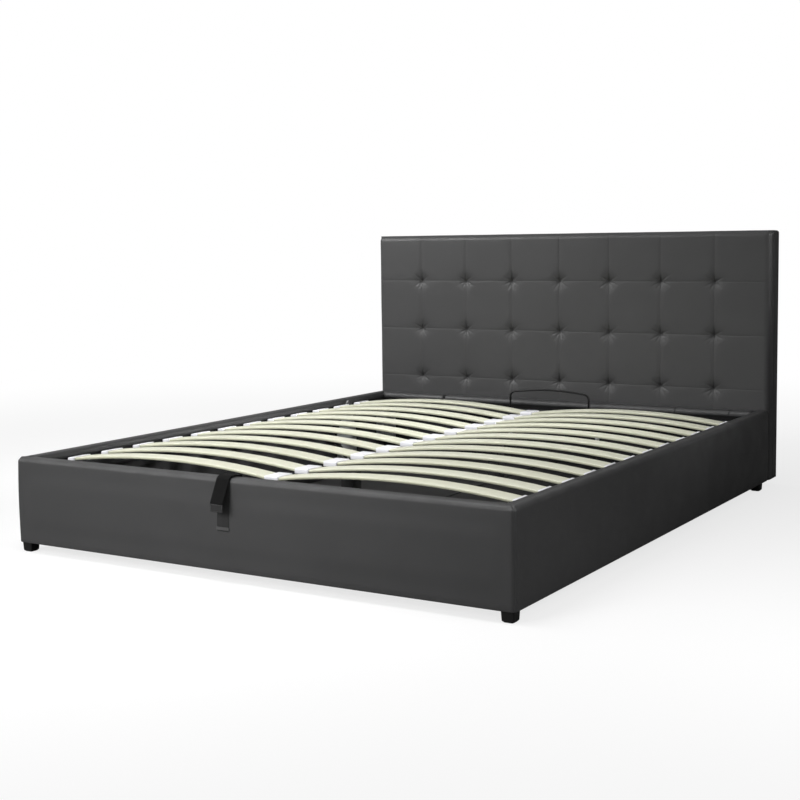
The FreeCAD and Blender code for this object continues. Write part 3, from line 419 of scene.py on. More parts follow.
def moulded(name, dark, pale, roughness, **constants):
    """Satin plastic whose shine differs a little from place to place."""
    made, tree, shader, place = new_finish(name, **constants)
    skin = grainy(tree, place, 500.0, 3.0)
    bump(tree, shader, skin, 0.1 * MM, 0.4)
    slow = grainy(tree, place, 25.0, 3.0)
    tree.links.new(blend_colours(tree, slow, dark, pale), shader.inputs["Base Color"])
    shine = spread(tree, slow, roughness - SHINE_SPREAD, roughness + SHINE_SPREAD)
    tree.links.new(shine, shader.inputs["Roughness"])
    return made


white_plastic = moulded("white_cap_plastic", (0.72, 0.72, 0.75), (0.78, 0.78, 0.81), 0.38)
black_plastic = moulded("black_foot_plastic", (0.005, 0.005, 0.005), (0.009, 0.009, 0.009), 0.38,
                        Specular_IOR_Level=0.2)
print("plastics", white_plastic.name, black_plastic.name)

# %% [markdown]
# ### Birch slats
# A sprung slat is glued up from thin birch layers under a pale satin foil.  The grain runs along
# the slat, so the noise is stretched along X.  Two stored values come from the node tree that
# makes the slats: ply, the height inside the section, draws the layers on the edges, and tone
# sets each slat a little apart from its neighbours.  The sides that do not face up are darkened,
# which is painted shade.

# %% birch
PLY = 0.65 * MM
GLUE_LINE = 0.2 * MM
BIRCH_DARK, BIRCH_PALE = (0.53, 0.53, 0.41), (0.65, 0.655, 0.54)
BIRCH_CLOUD, BIRCH_APART = (0.69, 0.695, 0.60), (0.58, 0.58, 0.45)
# the first colour is painted shade for the slats' sides; the second is the glue between the layers
BIRCH_SIDE_SHADE, BIRCH_GLUE = (0.40, 0.41, 0.28), (0.36, 0.30, 0.17)
birch, tree, shader, place = new_finish("pale_birch", Specular_IOR_Level=0.4)
fine = grainy(tree, place, 30.0, 6.0, (0.35, 12.0, 12.0))
broad = grainy(tree, place, 5.0, 3.0, (0.25, 5.0, 5.0))
ply = add_node(tree, "ShaderNodeAttribute", attribute_name="ply").outputs["Fac"]
tone = add_node(tree, "ShaderNodeAttribute", attribute_name="tone").outputs["Fac"]
layers = add_node(tree, "ShaderNodeMath", operation="PINGPONG", I0=ply, I1=PLY)
edge_line = spread(tree, layers.outputs[0], 0.35, 0.0, 0.0, GLUE_LINE)
grain = spread(tree, fine, 0, 1, 0.35, 0.7)
wood = blend_colours(tree, grain, BIRCH_DARK, BIRCH_PALE)
wood = blend_colours(tree, spread(tree, broad, 0, 0.5), wood, BIRCH_CLOUD)
wood = blend_colours(tree, spread(tree, tone, 0.0, 0.45), wood, BIRCH_APART)
side_share = add_node(tree, "ShaderNodeSeparateXYZ",
                      Vector=add_node(tree, "ShaderNodeTexCoord").outputs["Normal"]).outputs["Z"]
flat_share = add_node(tree, "ShaderNodeMath", operation="ABSOLUTE", I0=side_share)
on_edge = spread(tree, flat_share.outputs[0], 1.0, 0.0, 0.35, 0.8)
line = add_node(tree, "ShaderNodeMath", operation="MULTIPLY", I0=edge_line, I1=on_edge)
# the faces that do not look up are darkened: painted shade on the slats' sides
wood = blend_colours(tree, spread(tree, on_edge, 0.0, 0.5), wood, BIRCH_SIDE_SHADE)
wood = blend_colours(tree, line.outputs[0], wood, BIRCH_GLUE)
tree.links.new(wood, shader.inputs["Base Color"])
tree.links.new(spread(tree, fine, 0.38, 0.5), shader.inputs["Roughness"])
bump(tree, shader, fine, 0.25 * MM, 0.3)
print(birch.name)

# %% [markdown]
# ## Building closed skins
# Most soft pieces here are lofts: a closed ring of points is carried along the piece and each ring
# is joined to the next.  One helper makes the mesh from the rings, closes its two ends and turns
# every face outwards, so each piece is a sound closed skin.

# %% mesh helpers
def new_piece(name, points, faces, finishes):
    """A smooth piece whose faces all point outwards."""
    mesh = bpy.data.meshes.new(name)
    mesh.from_pydata([tuple(p) for p in points], [], faces)
    for finish in finishes:
        mesh.materials.append(finish)
    shape = bmesh.new()
    shape.from_mesh(mesh)
    bmesh.ops.recalc_face_normals(shape, faces=shape.faces)
    shape.to_mesh(mesh)
    shape.free()
    mesh.shade_smooth()
    piece = bpy.data.objects.new(name, mesh)
    scene.collection.objects.link(piece)
    return piece


def loft(rings):
    """Points and faces of closed rings joined one to the next, with both ends closed."""
    count = len(rings[0])
    points = [p for ring in rings for p in ring]
    faces = []
    for k in range(len(rings) - 1):
        for j in range(count):
            following = (j + 1) % count
            faces.append((k * count + j, k * count + following,
                          (k + 1) * count + following, (k + 1) * count + j))
    faces.append(tuple(range(count)))
    faces.append(tuple(range(len(points) - count, len(points))))
    return points, faces


def grid_faces(columns, rows):
    """Faces of a grid of points that are listed row by row."""
    return [(r * columns + c, r * columns + c + 1, (r + 1) * columns + c + 1, (r + 1) * columns + c)
            for r in range(rows - 1) for c in range(columns - 1)]


print("mesh helpers ready")

# %% helpers for stored values, places and noise
def store(piece, name, values):
    """Keep one number for each point of the piece, for its finish to read."""
    layer = piece.data.attributes.new(name, "FLOAT", "POINT")
    layer.data.foreach_set("value", np.asarray(values, dtype=np.float32))


ROUNDING = 1e-6


def graded(low, high, fine_places, fine_steps, coarse):
    """Places from low to high: close together round fine_places, coarse elsewhere."""
    marks = {round(low, 6), round(high, 6)}
    for middle in fine_places:
        for step in fine_steps:
            near = (middle - step, middle + step)
            marks.update(round(q, 6) for q in near if low < q < high)
    marks = sorted(marks)
    places = [marks[0]]
    for mark in marks[1:]:
        start = places[-1]
        steps = max(1, math.ceil((mark - start) / coarse - ROUNDING))
        places += [start + (mark - start) * k / steps for k in range(1, steps + 1)]
    return places


def wander(x, y, z, size):
    """A smooth uneven value between about -1 and 1 whose waves are about size long."""
    return noise.noise(Vector((x, y, z)) / size)


print("place helpers ready")

# %% [markdown]
# ## Puffing a padded skin
# Foam under a stretched cover swells between the lines where the cover is held.  A cloth
# simulation gives that swell: held points are pinned, a little air pressure pushes the rest
# outwards, gravity is off, and a cap keeps each point near where the upholsterer's pattern put it.
# The result is written back into the mesh, so nothing is left to simulate later.

# %% cloth puffing
CLOTH_FRAMES = 10
CLOTH_STIFFNESS = 18.0
CLOTH_SETTINGS = {
    "quality": 3, "mass": 0.3, "bending_stiffness": 0.6, "air_damping": 4.0, "use_pressure": True,
    "tension_stiffness": CLOTH_STIFFNESS, "compression_stiffness": CLOTH_STIFFNESS,
    "shear_stiffness": CLOTH_STIFFNESS / 3}
TINY = 1e-9


def puff(piece, held, pressure, cap):
    """Swell the points that held leaves free (0 free, 1 pinned), by at most cap metres.
    """
    mesh = piece.data
    rest = np.empty(len(mesh.vertices) * 3)
    mesh.vertices.foreach_get("co", rest)
    rest = rest.reshape(-1, 3)
    pins = piece.vertex_groups.new(name="held")
    for index, weight in enumerate(held):
        if weight > 0:
            pins.add([index], float(weight), "REPLACE")
    cloth = piece.modifiers.new("puff", "CLOTH")
    for setting, value in CLOTH_SETTINGS.items():
        setattr(cloth.settings, setting, value)
    cloth.settings.uniform_pressure_force = pressure
    cloth.settings.vertex_group_mass = "held"
    cloth.settings.effector_weights.gravity = 0
    cloth.point_cache.frame_start = 1
    cloth.point_cache.frame_end = CLOTH_FRAMES
    for step in range(1, CLOTH_FRAMES + 1):
        scene.frame_set(step)
    swollen = piece.evaluated_get(bpy.context.evaluated_depsgraph_get())
    moved = np.empty(len(mesh.vertices) * 3)
    swollen.data.vertices.foreach_get("co", moved)
    shift = moved.reshape(-1, 3) - rest
    length = np.linalg.norm(shift, axis=1, keepdims=True)
    shift *= np.minimum(1.0, cap / np.maximum(length, TINY))
    piece.modifiers.remove(cloth)
    piece.vertex_groups.remove(pins)
    scene.frame_set(1)
    mesh.vertices.foreach_set("co", (rest + shift).ravel())
    mesh.update()
    return shift


print("puffing", "on")

# %% [markdown]
# ## Upholstered rails
# Each side of the box is a board inside a padded cover.  The cover folds under the board's lower
# edge, runs up the outside, rounds over the top and goes a thumb's width down the inside, where its
# raw edge wanders a little over the black lining.  The section below follows that way round the
# board, as depth behind the outer face, height over the floor, and the part of the cover.

# %% sizes of a rail cover
foot_low, foot_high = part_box("foot_rail_cover")
right_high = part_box("right_rail_cover")[1]
head_low, head_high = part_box("head_rail_cover")
foot_board_low, foot_board_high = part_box("foot_rail_board")
RAIL_BOTTOM = foot_low.z
RAIL_TOP = foot_high.z
RAIL_DEPTH = foot_high.y - foot_low.y
BOARD_FRONT = foot_board_low.y - foot_low.y
BOARD_BACK = foot_board_high.y - foot_low.y
BOARD_TOP = foot_board_high.z
CROWN = 2 * MM
EDGE_RADIUS = 14 * MM
INNER_RADIUS = 13 * MM
LOWER_RADIUS = 4 * MM
LOWER_RISE = 3 * MM
FOLD_UNDER = 24 * MM
FOLD_DROP = 0.9 * MM
FOLD_START = 8 * MM
FOLD_START_DROP = 1.0 * MM
WRAP_DOWN = 22 * MM
LINING_STEP = 0.9 * MM
BOARD_GAP = 0.2 * MM
FACE_STEPS = 18
TOP_STEPS = 4
WRAP_SHARES = (0.2, 0.4)
LINING_SHARES = (0.75, 0.5, 0.25, 0.02)
print("rail", round(RAIL_DEPTH / MM, 1), "mm deep, up to", round(RAIL_TOP / MM, 1), "mm")

# %% section of a rail cover
def arc_points(centre, radius, start, end, count):
    """Points on an arc, angles in degrees."""
    angles = [math.radians(start + (end - start) * k / count) for k in range(count + 1)]
    return [(centre[0] + radius * math.cos(angle), centre[1] + radius * math.sin(angle))
            for angle in angles]


def cover_outside():
    """The outer part of the way round, from the fold under the board to the inner face."""
    face_top = RAIL_TOP - EDGE_RADIUS
    face_start = RAIL_BOTTOM + LOWER_RISE
    way = [(FOLD_UNDER, RAIL_BOTTOM - FOLD_DROP), (FOLD_START, RAIL_BOTTOM - FOLD_START_DROP)]
    way += arc_points((CROWN + LOWER_RADIUS, face_start), LOWER_RADIUS, 270, 180, 3)
    for k in range(1, FACE_STEPS):
        share = k / FACE_STEPS
        height = face_start + (face_top - RAIL_BOTTOM - LOWER_RISE) * share
        way.append((CROWN * (2 * share - 1) ** 2, height))
    way += arc_points((CROWN + EDGE_RADIUS, face_top), EDGE_RADIUS, 180, 90, 7)
    top_run = RAIL_DEPTH - INNER_RADIUS - CROWN - EDGE_RADIUS
    way += [(CROWN + EDGE_RADIUS + top_run * (k / TOP_STEPS), RAIL_TOP)
            for k in range(1, TOP_STEPS)]
    way += arc_points((RAIL_DEPTH - INNER_RADIUS, RAIL_TOP - INNER_RADIUS), INNER_RADIUS, 90, 0, 4)
    wrap_run = WRAP_DOWN - INNER_RADIUS
    return way + [(RAIL_DEPTH, RAIL_TOP - INNER_RADIUS - wrap_run * share) for share in WRAP_SHARES]


def rail_section():
    """The closed way round the board: (depth, height, part)."""
    way = [(depth, height, "skin") for depth, height in cover_outside()]
    raw_edge = RAIL_TOP - WRAP_DOWN
    way += [(RAIL_DEPTH, raw_edge, "raw_edge"), (RAIL_DEPTH - LINING_STEP, raw_edge, "raw_edge")]
    way += [(RAIL_DEPTH - LINING_STEP, RAIL_BOTTOM + (raw_edge - RAIL_BOTTOM) * share, "lining")
            for share in LINING_SHARES]
    return way + [(BOARD_BACK + BOARD_GAP, RAIL_BOTTOM, "lining"),
                  (BOARD_BACK + BOARD_GAP, BOARD_TOP + BOARD_GAP, "inside"),
                  (BOARD_FRONT - BOARD_GAP, BOARD_TOP + BOARD_GAP, "inside"),
                  (BOARD_FRONT - BOARD_GAP, RAIL_BOTTOM - BOARD_GAP, "inside"),
                  (FOLD_UNDER, RAIL_BOTTOM - BOARD_GAP, "inside")]


section = rail_section()
print("section points", len(section))

# %% [markdown]
# Near a corner the rails are mitred, so each ring of the loft leans into the mitre.  There the
# outer layers follow an arc, which gives the soft upright edge that the photograph shows, and the
# cover is gathered: tucked into the mitre, rippled beside it and notched on top.

# %% the cover at a mitre
LEAN_RUN = 60 * MM
TUCK_DEPTH = 3.2 * MM
TUCK_REACH = 2.2 * MM
TUCK_IN_SHARE = 0.8
TUCK_IN_DEPTH = 20 * MM
RIPPLE_HEIGHT = 2.2 * MM
RIPPLE_RISE = 3.4 * MM
RIPPLE_RUN = 2.6 * MM
RIPPLE_PLACE = 9 * MM
RIPPLE_WIDTH = 7 * MM
RIPPLE_DROP = 30 * MM
NOTCH_DEPTH = 5 * MM
NOTCH_WIDTH = 4 * MM
NOTCH_PLACE = 24 * MM
NOTCH_RUN = 12 * MM


def lean(station, depth, length, mitres):
    """Where along the rail a point of a ring lies that leans into the mitres."""
    along = station
    if mitres[0]:
        along += depth * max(0.0, 1 - station / LEAN_RUN)
    if mitres[1]:
        along -= depth * max(0.0, 1 - (length - station) / LEAN_RUN)
    return along


def gathered(near, depth, height):
    """How far the cover is drawn in and down, near metres from the mitre."""
    tuck = TUCK_DEPTH * math.exp(-max(near, 0) / TUCK_REACH)
    beside = math.exp(-((near - RIPPLE_PLACE) / RIPPLE_WIDTH) ** 2)
    top_share = max(0.0, 1 - (RAIL_TOP - height) / RIPPLE_DROP)
    wave = RIPPLE_HEIGHT * math.sin(height / RIPPLE_RISE + depth / RIPPLE_RUN)
    ripple = beside * top_share * wave
    notch = NOTCH_DEPTH * math.exp(-(near / NOTCH_WIDTH) ** 2
                                   - ((depth - NOTCH_PLACE) / NOTCH_RUN) ** 2)
    drawn_in = tuck * TUCK_IN_SHARE if depth < TUCK_IN_DEPTH else 0.0
    drawn_down = tuck + notch - ripple if height > RAIL_TOP - EDGE_RADIUS else 0.0
    return drawn_in, drawn_down


print("tuck", TUCK_DEPTH / MM, "mm and notch", NOTCH_DEPTH / MM, "mm deep")

# %% the soft upright edge
CORNER_RADIUS = 15 * MM


def round_corner(along, depth):
    """Carry a point near a mitre round the soft upright edge; along starts at the corner."""
    bend = CORNER_RADIUS - depth
    if bend <= 0:
        return along, depth
    path = along - depth
    eighth = math.pi / 4
    shorter = bend * (1 - eighth)
    path *= (LEAN_RUN - shorter) / LEAN_RUN if path < LEAN_RUN else 1
    path -= 0 if along - depth < LEAN_RUN else shorter
    if path > bend * eighth:
        return CORNER_RADIUS + path - bend * eighth, depth
    angle = eighth - path / bend
    return CORNER_RADIUS - bend * math.sin(angle), CORNER_RADIUS - bend * math.cos(angle)


print("corner radius", CORNER_RADIUS / MM, "mm")

# %% [markdown]
# Between the corners the cover is not quite flat.  The foam under it is uneven, its raw edge
# wanders, and its upper edge is paler in patches, partly from wear and partly as a painted
# highlight.  A smooth noise gives each of these, with a seed for every rail.  The cover of the head
# rail also has sewn seams, which sink into it.

# %% the cover between the corners
UNEVEN = 1.1 * MM
BROAD_WAVES, FINE_WAVES = 0.42, 0.13
BROAD_SHARE, FINE_SHARE = 0.7, 0.3
RAW_WANDER = 4 * MM
RAW_RIPPLE = 1.2 * MM
RAW_WAVES, RAW_FINE_WAVES = 0.16, 0.045
UPRIGHT_STRETCH = 1.6
HELD_TOP_SHARE = 0.98
SWELL_STRETCH = 1.02
FREE_GAIN = 3
SEAM_BAND = 3 * MM
# a paler band along the upper outer edge: wear and a painted highlight
WEAR_HIGHLIGHT_SHARE = 0.25
WEAR_HIGHLIGHT_WAVES = 0.06
WEAR_HIGHLIGHT_DROP = 4 * MM
WEAR_HIGHLIGHT_BAND = 7 * MM
WEAR_HIGHLIGHT_DEPTH = 22 * MM


def freedom(depth, height, part):
    """How free the cover is to swell: 0 where it is held, 1 halfway up the outer face."""
    if part != "skin" or depth >= RAIL_DEPTH - INNER_RADIUS or height <= RAIL_BOTTOM:
        return 0.0
    rise = (height - RAIL_BOTTOM) / (RAIL_TOP - RAIL_BOTTOM)
    if rise >= HELD_TOP_SHARE:
        return 0.0
    return math.sin(math.pi * min(1.0, rise * SWELL_STRETCH))


def padding(along, height, free, seed):
    """How far uneven foam pushes the cover out."""
    uneven = (BROAD_SHARE * wander(along, height * UPRIGHT_STRETCH, seed, BROAD_WAVES)
              + FINE_SHARE * wander(along, height, seed + 9, FINE_WAVES))
    return UNEVEN * uneven * min(1.0, FREE_GAIN * free)


def raw_rise(along, seed):
    """How far the raw edge on the inside lies over its line."""
    return (RAW_WANDER * wander(along, 0, seed, RAW_WAVES)
            + RAW_RIPPLE * wander(along, 5, seed, RAW_FINE_WAVES))


def edge_wear_and_highlight(along, depth, height, part, seed):
    """How much paler the cover is: wear and a painted highlight in patches on the upper outer edge.
    """
    near_edge = abs(height - (RAIL_TOP - WEAR_HIGHLIGHT_DROP)) < WEAR_HIGHLIGHT_BAND and depth < WEAR_HIGHLIGHT_DEPTH
    if part != "skin" or not near_edge:
        return 0.0
    return WEAR_HIGHLIGHT_SHARE + WEAR_HIGHLIGHT_SHARE * wander(along, depth, seed + 3, WEAR_HIGHLIGHT_WAVES)


print("cover uneven by", UNEVEN / MM, "mm, raw edge by", RAW_WANDER / MM, "mm")

# %% one point of a cover, and its square ends
END_STEPS = (-0.4 * MM, 0.22 * MM)
END_INSET = 1 * MM
END_CORNER = 9 * MM
END_FOOT = 2.5 * MM
END_SHOULDER = 4 * MM
END_SHOULDER_DROP = 12 * MM
END_TOP = 15 * MM
END_PANEL = [(END_FOOT, RAIL_BOTTOM), (RAIL_DEPTH - END_INSET, RAIL_BOTTOM),
             (RAIL_DEPTH - END_INSET, RAIL_TOP - END_CORNER),
             (RAIL_DEPTH - END_CORNER, RAIL_TOP - END_INSET),
             (END_TOP, RAIL_TOP - END_INSET), (END_SHOULDER, RAIL_TOP - END_SHOULDER_DROP)]


def cover_point(along, spot, length, mitres, seams, free, seed):
    """A point of the section as the cover lies there: (along, depth, height)."""
    depth, height, part = spot
    depth_now = depth - padding(along, height, free, seed) if free > 0 else depth
    height_now = height + raw_rise(along, seed) if part == "raw_edge" else height
    if part == "skin" and height > RAIL_TOP - WRAP_DOWN:
        for seam, seam_depth, seam_width in seams:
            sink = seam_depth * math.exp(-(abs(along - seam) / seam_width) ** 2)
            height_now -= sink if height > RAIL_TOP - SEAM_BAND else 0
            depth_now -= sink if depth > RAIL_DEPTH - SEAM_BAND else 0
    for mitred, far_end in ((mitres[0], False), (mitres[1], True)):
        if mitred:
            reach = length - along if far_end else along
            if part == "skin":
                drawn_in, drawn_down = gathered(reach - depth_now, depth, height)
                depth_now += drawn_in
                height_now -= drawn_down
            reach, depth_now = round_corner(reach, depth_now)
            along = length - reach if far_end else reach
    return along, depth_now, height_now


def end_panel(to_bed, end, outward):
    """Points and faces of the folded cloth that closes a cover's square end."""
    return loft([[to_bed(end + outward * step, depth, height) for depth, height in END_PANEL]
                 for step in END_STEPS])


print("end panel", len(END_PANEL), "corners")

# %% [markdown]
# One rail cover is then a loft of these points.  Its stations lie close together at the mitres and
# seams, where the shape turns quickly, and wide apart between them.  The cloth is held along the
# edges and ends of the rail, and free on its face.

# %% stations and lining of a cover
STATION_STEPS = [q * MM for q in (0, 1, 2.5, 4.5, 7, 10, 14, 19, 25, 32, 40, 50, 62)]
STATION_PITCH = 16 * MM


def rail_stations(length, mitres, seams):
    """Places of a cover's rings along its rail."""
    ends = [q for q, mitred in zip((0, length), mitres) if mitred]
    fine = graded(0, length, ends + [seam[0] for seam in seams], STATION_STEPS, STATION_PITCH)
    return graded(0, length, fine, [0], STATION_PITCH)


def line_inside(piece, rail_faces):
    """Give the lining to the faces below the raw edge on the inside."""
    count = len(section)
    parts = [part for _, _, part in section]
    dark = {j for j in range(count) if parts[j] == "lining" or
            (parts[j] == "raw_edge" and parts[(j + 1) % count] == "lining")}
    for polygon in piece.data.polygons[:rail_faces]:
        if polygon.index % count in dark:
            polygon.material_index = 1


print("stations", STATION_PITCH / MM, "mm apart at most")

# %% one rail cover
END_HOLD = 30 * MM
END_EASE = 10 * MM
RAIL_PRESSURE = 2.0
RAIL_SWELL = 1.5 * MM


def cover_rail(name, length, mitres, to_bed, seams=()):
    """One padded rail cover; to_bed turns (along, depth, height) into the bed's frame."""
    seed = sum(ord(letter) for letter in name)
    rings = []
    held = []
    wear_and_highlight_values = []
    for station in rail_stations(length, mitres, seams):
        end_hold = min(1.0, END_HOLD / (END_EASE + min(station, length - station)))
        ring = []
        for spot in section:
            free = freedom(*spot)
            along = lean(station, spot[0], length, mitres)
            ring.append(to_bed(*cover_point(along, spot, length, mitres, seams, free, seed)))
            held.append(1.0 if free <= 0 else max(1.0 - free, end_hold ** 2))
            wear_and_highlight_values.append(edge_wear_and_highlight(along, *spot, seed))
        rings.append(ring)
    points, faces = loft(rings)
    rail_faces = len(faces) - 2
    for end, mitred, outward in ((0.0, mitres[0], -1), (length, mitres[1], 1)):
        if not mitred:
            panel_points, panel_faces = end_panel(to_bed, end, outward)
            faces += [tuple(index + len(points) for index in face) for face in panel_faces]
            points += panel_points
            held += [1.0] * len(panel_points)
            wear_and_highlight_values += [0.0] * len(panel_points)
    piece = new_piece(name, points, faces, [leather, lining])
    line_inside(piece, rail_faces)
    store(piece, "wear_and_highlight", wear_and_highlight_values)
    moved = puff(piece, held, RAIL_PRESSURE, RAIL_SWELL)
    print(name, len(points), "points, pushed by up to", round(np.abs(moved).max() / MM, 2), "mm")
    return piece


print("swell of a cover", RAIL_SWELL / MM, "mm at most")

# %% the four rail covers
half_width = foot_high.x
foot_face = foot_low.y
rail_end = right_high.y
side_length = rail_end - foot_face
head_length = head_high.x - head_low.x
HEAD_SEAMS = ((502, 8, 4.5), (-508, 3.5, 1.8), (-717, 3.5, 1.8))
head_seams = [(place * MM + head_length / 2, deep * MM, wide * MM)
              for place, deep, wide in HEAD_SEAMS]
covers = {
    "foot": cover_rail("foot_cover", 2 * half_width, (True, True),
                       lambda a, d, z: (a - half_width, foot_face + d, z)),
    "right": cover_rail("right_cover", side_length, (True, False),
                        lambda a, d, z: (half_width - d, foot_face + a, z)),
    "left": cover_rail("left_cover", side_length, (True, False),
                       lambda a, d, z: (d - half_width, foot_face + a, z)),
    "head": cover_rail("head_cover", head_length, (False, False),
                       lambda a, d, z: (head_length / 2 - a, rail_end - d, z), head_seams),
}
for side, piece in covers.items():
    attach(piece, "bed_base")
    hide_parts(side + "_rail_cover")

# %% [markdown]
# ## Headboard pad
# The pad is foam on a board, covered with panels that are sewn in a grid and pulled in at blind
# tufts where the seams cross.  A fine grid of points carries the pattern: a shallow crown in every
# panel, a sharp groove on every seam, a pinched hollow at every tuft with short creases running
# out of it.  The grid is closer near the seams, because that is where the shape turns quickly.

# %% pad pattern
pad_low, pad_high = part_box("headboard_pad")
BAYS_ACROSS = 8
TUFT_PITCH = 2 * pad_high.x / BAYS_ACROSS
tuft_x = [TUFT_PITCH * k for k in range(-3, 4)]
TUFT_HEIGHTS = (366, 568, 770)
tuft_z = [height * MM for height in TUFT_HEIGHTS]
x_lines = [-pad_high.x] + tuft_x + [pad_high.x]
z_lines = [pad_low.z] + tuft_z + [pad_high.z]
PAD_FRONT = pad_low.y
PAD_RECESS = 8 * MM
CHANNEL = PAD_FRONT + PAD_RECESS
PANEL_CROWN = 0.4 * MM


def bay(q, lines):
    """Where q lies in its bay between two lines: -1 to 1."""
    for start, end in zip(lines, lines[1:]):
        if q <= end:
            return 2 * (q - start) / (end - start) - 1
    return 1.0


def panel_crown(x, z):
    """How far the foam stands up inside its panel."""
    u = bay(x, x_lines)
    v = bay(z, z_lines)
    return PANEL_CROWN * (1 - abs(u) ** 3) * (1 - abs(v) ** 3)


print("panels", (len(x_lines) - 1) * (len(z_lines) - 1), "pitch", round(TUFT_PITCH / MM), "mm")

# %% creases round a tuft
CREASE_ANGLES = (-150, -118, -62, -30, 32, 90, 148)
CREASE_SWING = 18
CREASE_REACH, REACH_SPREAD = 30, 14
CREASE_DEPTH, DEPTH_SPREAD = 2.0, 1.1
CREASE_WIDTH = 3.0 * MM
CREASE_START = 6 * MM
FOLD_LIMIT = 70 * MM


def crease_fan(k):
    """Directions, lengths and depths of the short creases of one tuft.

    The odd numbers only pick places in the noise, so that no two creases are alike.
    """
    fan = []
    for j, middle in enumerate(CREASE_ANGLES):
        swing = CREASE_SWING * wander(k * 3.1 + 0.37, j * 1.7 + 0.21, 2.2, 1.0)
        longer = REACH_SPREAD * wander(k * 2.3 + 0.4, j + 0.5, 7.7, 1.0)
        deeper = DEPTH_SPREAD * wander(k * 1.3 + 0.1, j * 2.1 + 0.6, 4.4, 1.0)
        angle = math.radians(middle + swing)
        fan.append((math.cos(angle), math.sin(angle),
                    (CREASE_REACH + longer) * MM, (CREASE_DEPTH + deeper) * MM))
    return fan


fans = {(x, z): crease_fan(len(tuft_x) * row + column)
        for row, z in enumerate(tuft_z) for column, x in enumerate(tuft_x)}


def crease_depth(x, z, tuft):
    """How deep a tuft's creases are at (x, z)."""
    dx, dz = x - tuft[0], z - tuft[1]
    fold = 0.0
    for cx, cz, reach, deep in fans[tuft]:
        run = dx * cx + dz * cz
        off = abs(dz * cx - dx * cz)
        if run > 0:
            fold += (deep * math.exp(-(run / reach) ** 2) * math.exp(-(off / CREASE_WIDTH) ** 2)
                     * min(1, run / CREASE_START))
    return fold


print("tufts", len(fans), "with", len(CREASE_ANGLES), "creases each")

# %% the pad's front at one place
SEAM_DEPTH = 2.0 * MM
SEAM_WIDTH = 1.4 * MM
CROSS_SEAM_SHARE = 0.3
PULL_DEPTH = 1.6 * MM
PULL_REACH = 34 * MM
PULL_WIDTH = 11 * MM
TUFT_DEPTH = 4.2 * MM
TUFT_REACH = 26 * MM
PINCH_DEPTH = 7 * MM
PINCH_REACH = 6 * MM
TUFT_HOLD = 9 * MM
SEAM_HOLD = 5 * MM
SEAM_HOLD_SHARE = 0.85
PAD_UNEVEN = 0.5 * MM
PAD_WAVES = 0.3


def pad_front(x, z):
    """Depth of the pad's front at a place, and how hard its cover is held there."""
    near_x = min(abs(x - q) for q in tuft_x)
    near_z = min(abs(z - q) for q in tuft_z)
    square, tuft = min(((x - a) ** 2 + (z - b) ** 2, (a, b)) for a, b in fans)
    distance = math.sqrt(square)
    pulled = math.exp(-distance / PULL_REACH)
    groove = max(math.exp(-near_x / SEAM_WIDTH),
                 CROSS_SEAM_SHARE * math.exp(-near_z / SEAM_WIDTH))
    valley = max(math.exp(-(near_x / PULL_WIDTH) ** 2), math.exp(-(near_z / PULL_WIDTH) ** 2))
    seam = SEAM_DEPTH * (0.5 + 0.5 * pulled) * groove + PULL_DEPTH * pulled * valley
    hollow = (TUFT_DEPTH * math.exp(-(distance / TUFT_REACH) ** 2)
              + PINCH_DEPTH * math.exp(-distance / PINCH_REACH))
    fold = crease_depth(x, z, tuft) if distance < FOLD_LIMIT else 0.0
    lift = PAD_UNEVEN * wander(x, 0.3, z, PAD_WAVES)
    held = max(math.exp(-(distance / TUFT_HOLD) ** 2),
               SEAM_HOLD_SHARE * math.exp(-min(near_x, near_z) / SEAM_HOLD))
    return CHANNEL - panel_crown(x, z) + seam + hollow + fold - lift, held


print("deepest", round((pad_front(tuft_x[0], tuft_z[0])[0] - CHANNEL) / MM, 1), "mm, at a tuft")

# %% [markdown]
# The cloth is run on a coarser copy of the pad's front, held on its seams and pinned at its tufts.
# Its swell is then read off for every point of the fine front, which keeps the run short.

# %% swell of the pad's front
COARSE_STEPS = [q * MM for q in (0, 5, 12, 22, 36)]
COARSE_PITCH = 16 * MM
HELD_RIM = 20 * MM
PAD_PRESSURE = 4.0
PAD_SWELL = 0.3 * MM
coarse_x = graded(-pad_high.x, pad_high.x, tuft_x, COARSE_STEPS, COARSE_PITCH)
coarse_z = graded(pad_low.z, pad_high.z, tuft_z, COARSE_STEPS, COARSE_PITCH)
trial_points = []
trial_held = []
for z in coarse_z:
    for x in coarse_x:
        depth, hold = pad_front(x, z)
        trial_points.append((x, depth, z))
        near_rim = min(pad_high.x - abs(x), pad_high.z - z, z - pad_low.z)
        trial_held.append(1.0 if near_rim < HELD_RIM else hold)
trial = new_piece("pad_front_trial", trial_points, grid_faces(len(coarse_x), len(coarse_z)), [])
if trial.data.polygons[0].normal.y > 0:
    trial.data.flip_normals()
swell = puff(trial, trial_held, PAD_PRESSURE, PAD_SWELL)[:, 1].reshape(len(coarse_z), len(coarse_x))
bpy.data.objects.remove(trial)
print("swell", round(float(np.abs(swell).max()) / MM, 2), "mm at most")

# %% places on the fine front
FINE_STEPS = [q * MM for q in (0, 1, 2.3, 4, 6.2, 8.6, 11.2, 14, 16.8, 19.8, 23, 26.4, 30, 34, 39)]
RIM_STEPS = [q * MM for q in (0, 0.5, 1.8, 4, 7, 11, 16, 22, 30)]
FINE_PITCH = 11 * MM
CLOSEST = 0.3 * MM


def fine_places(low, high, tufts, rim_places):
    """Places between low and high, close at the tufts and at the rim, and never too close."""
    places = set(graded(low, high, tufts, FINE_STEPS, FINE_PITCH))
    places = sorted(places | {round(q, 6) for q in rim_places})
    return [q for k, q in enumerate(places) if k == 0 or q - places[k - 1] > CLOSEST]


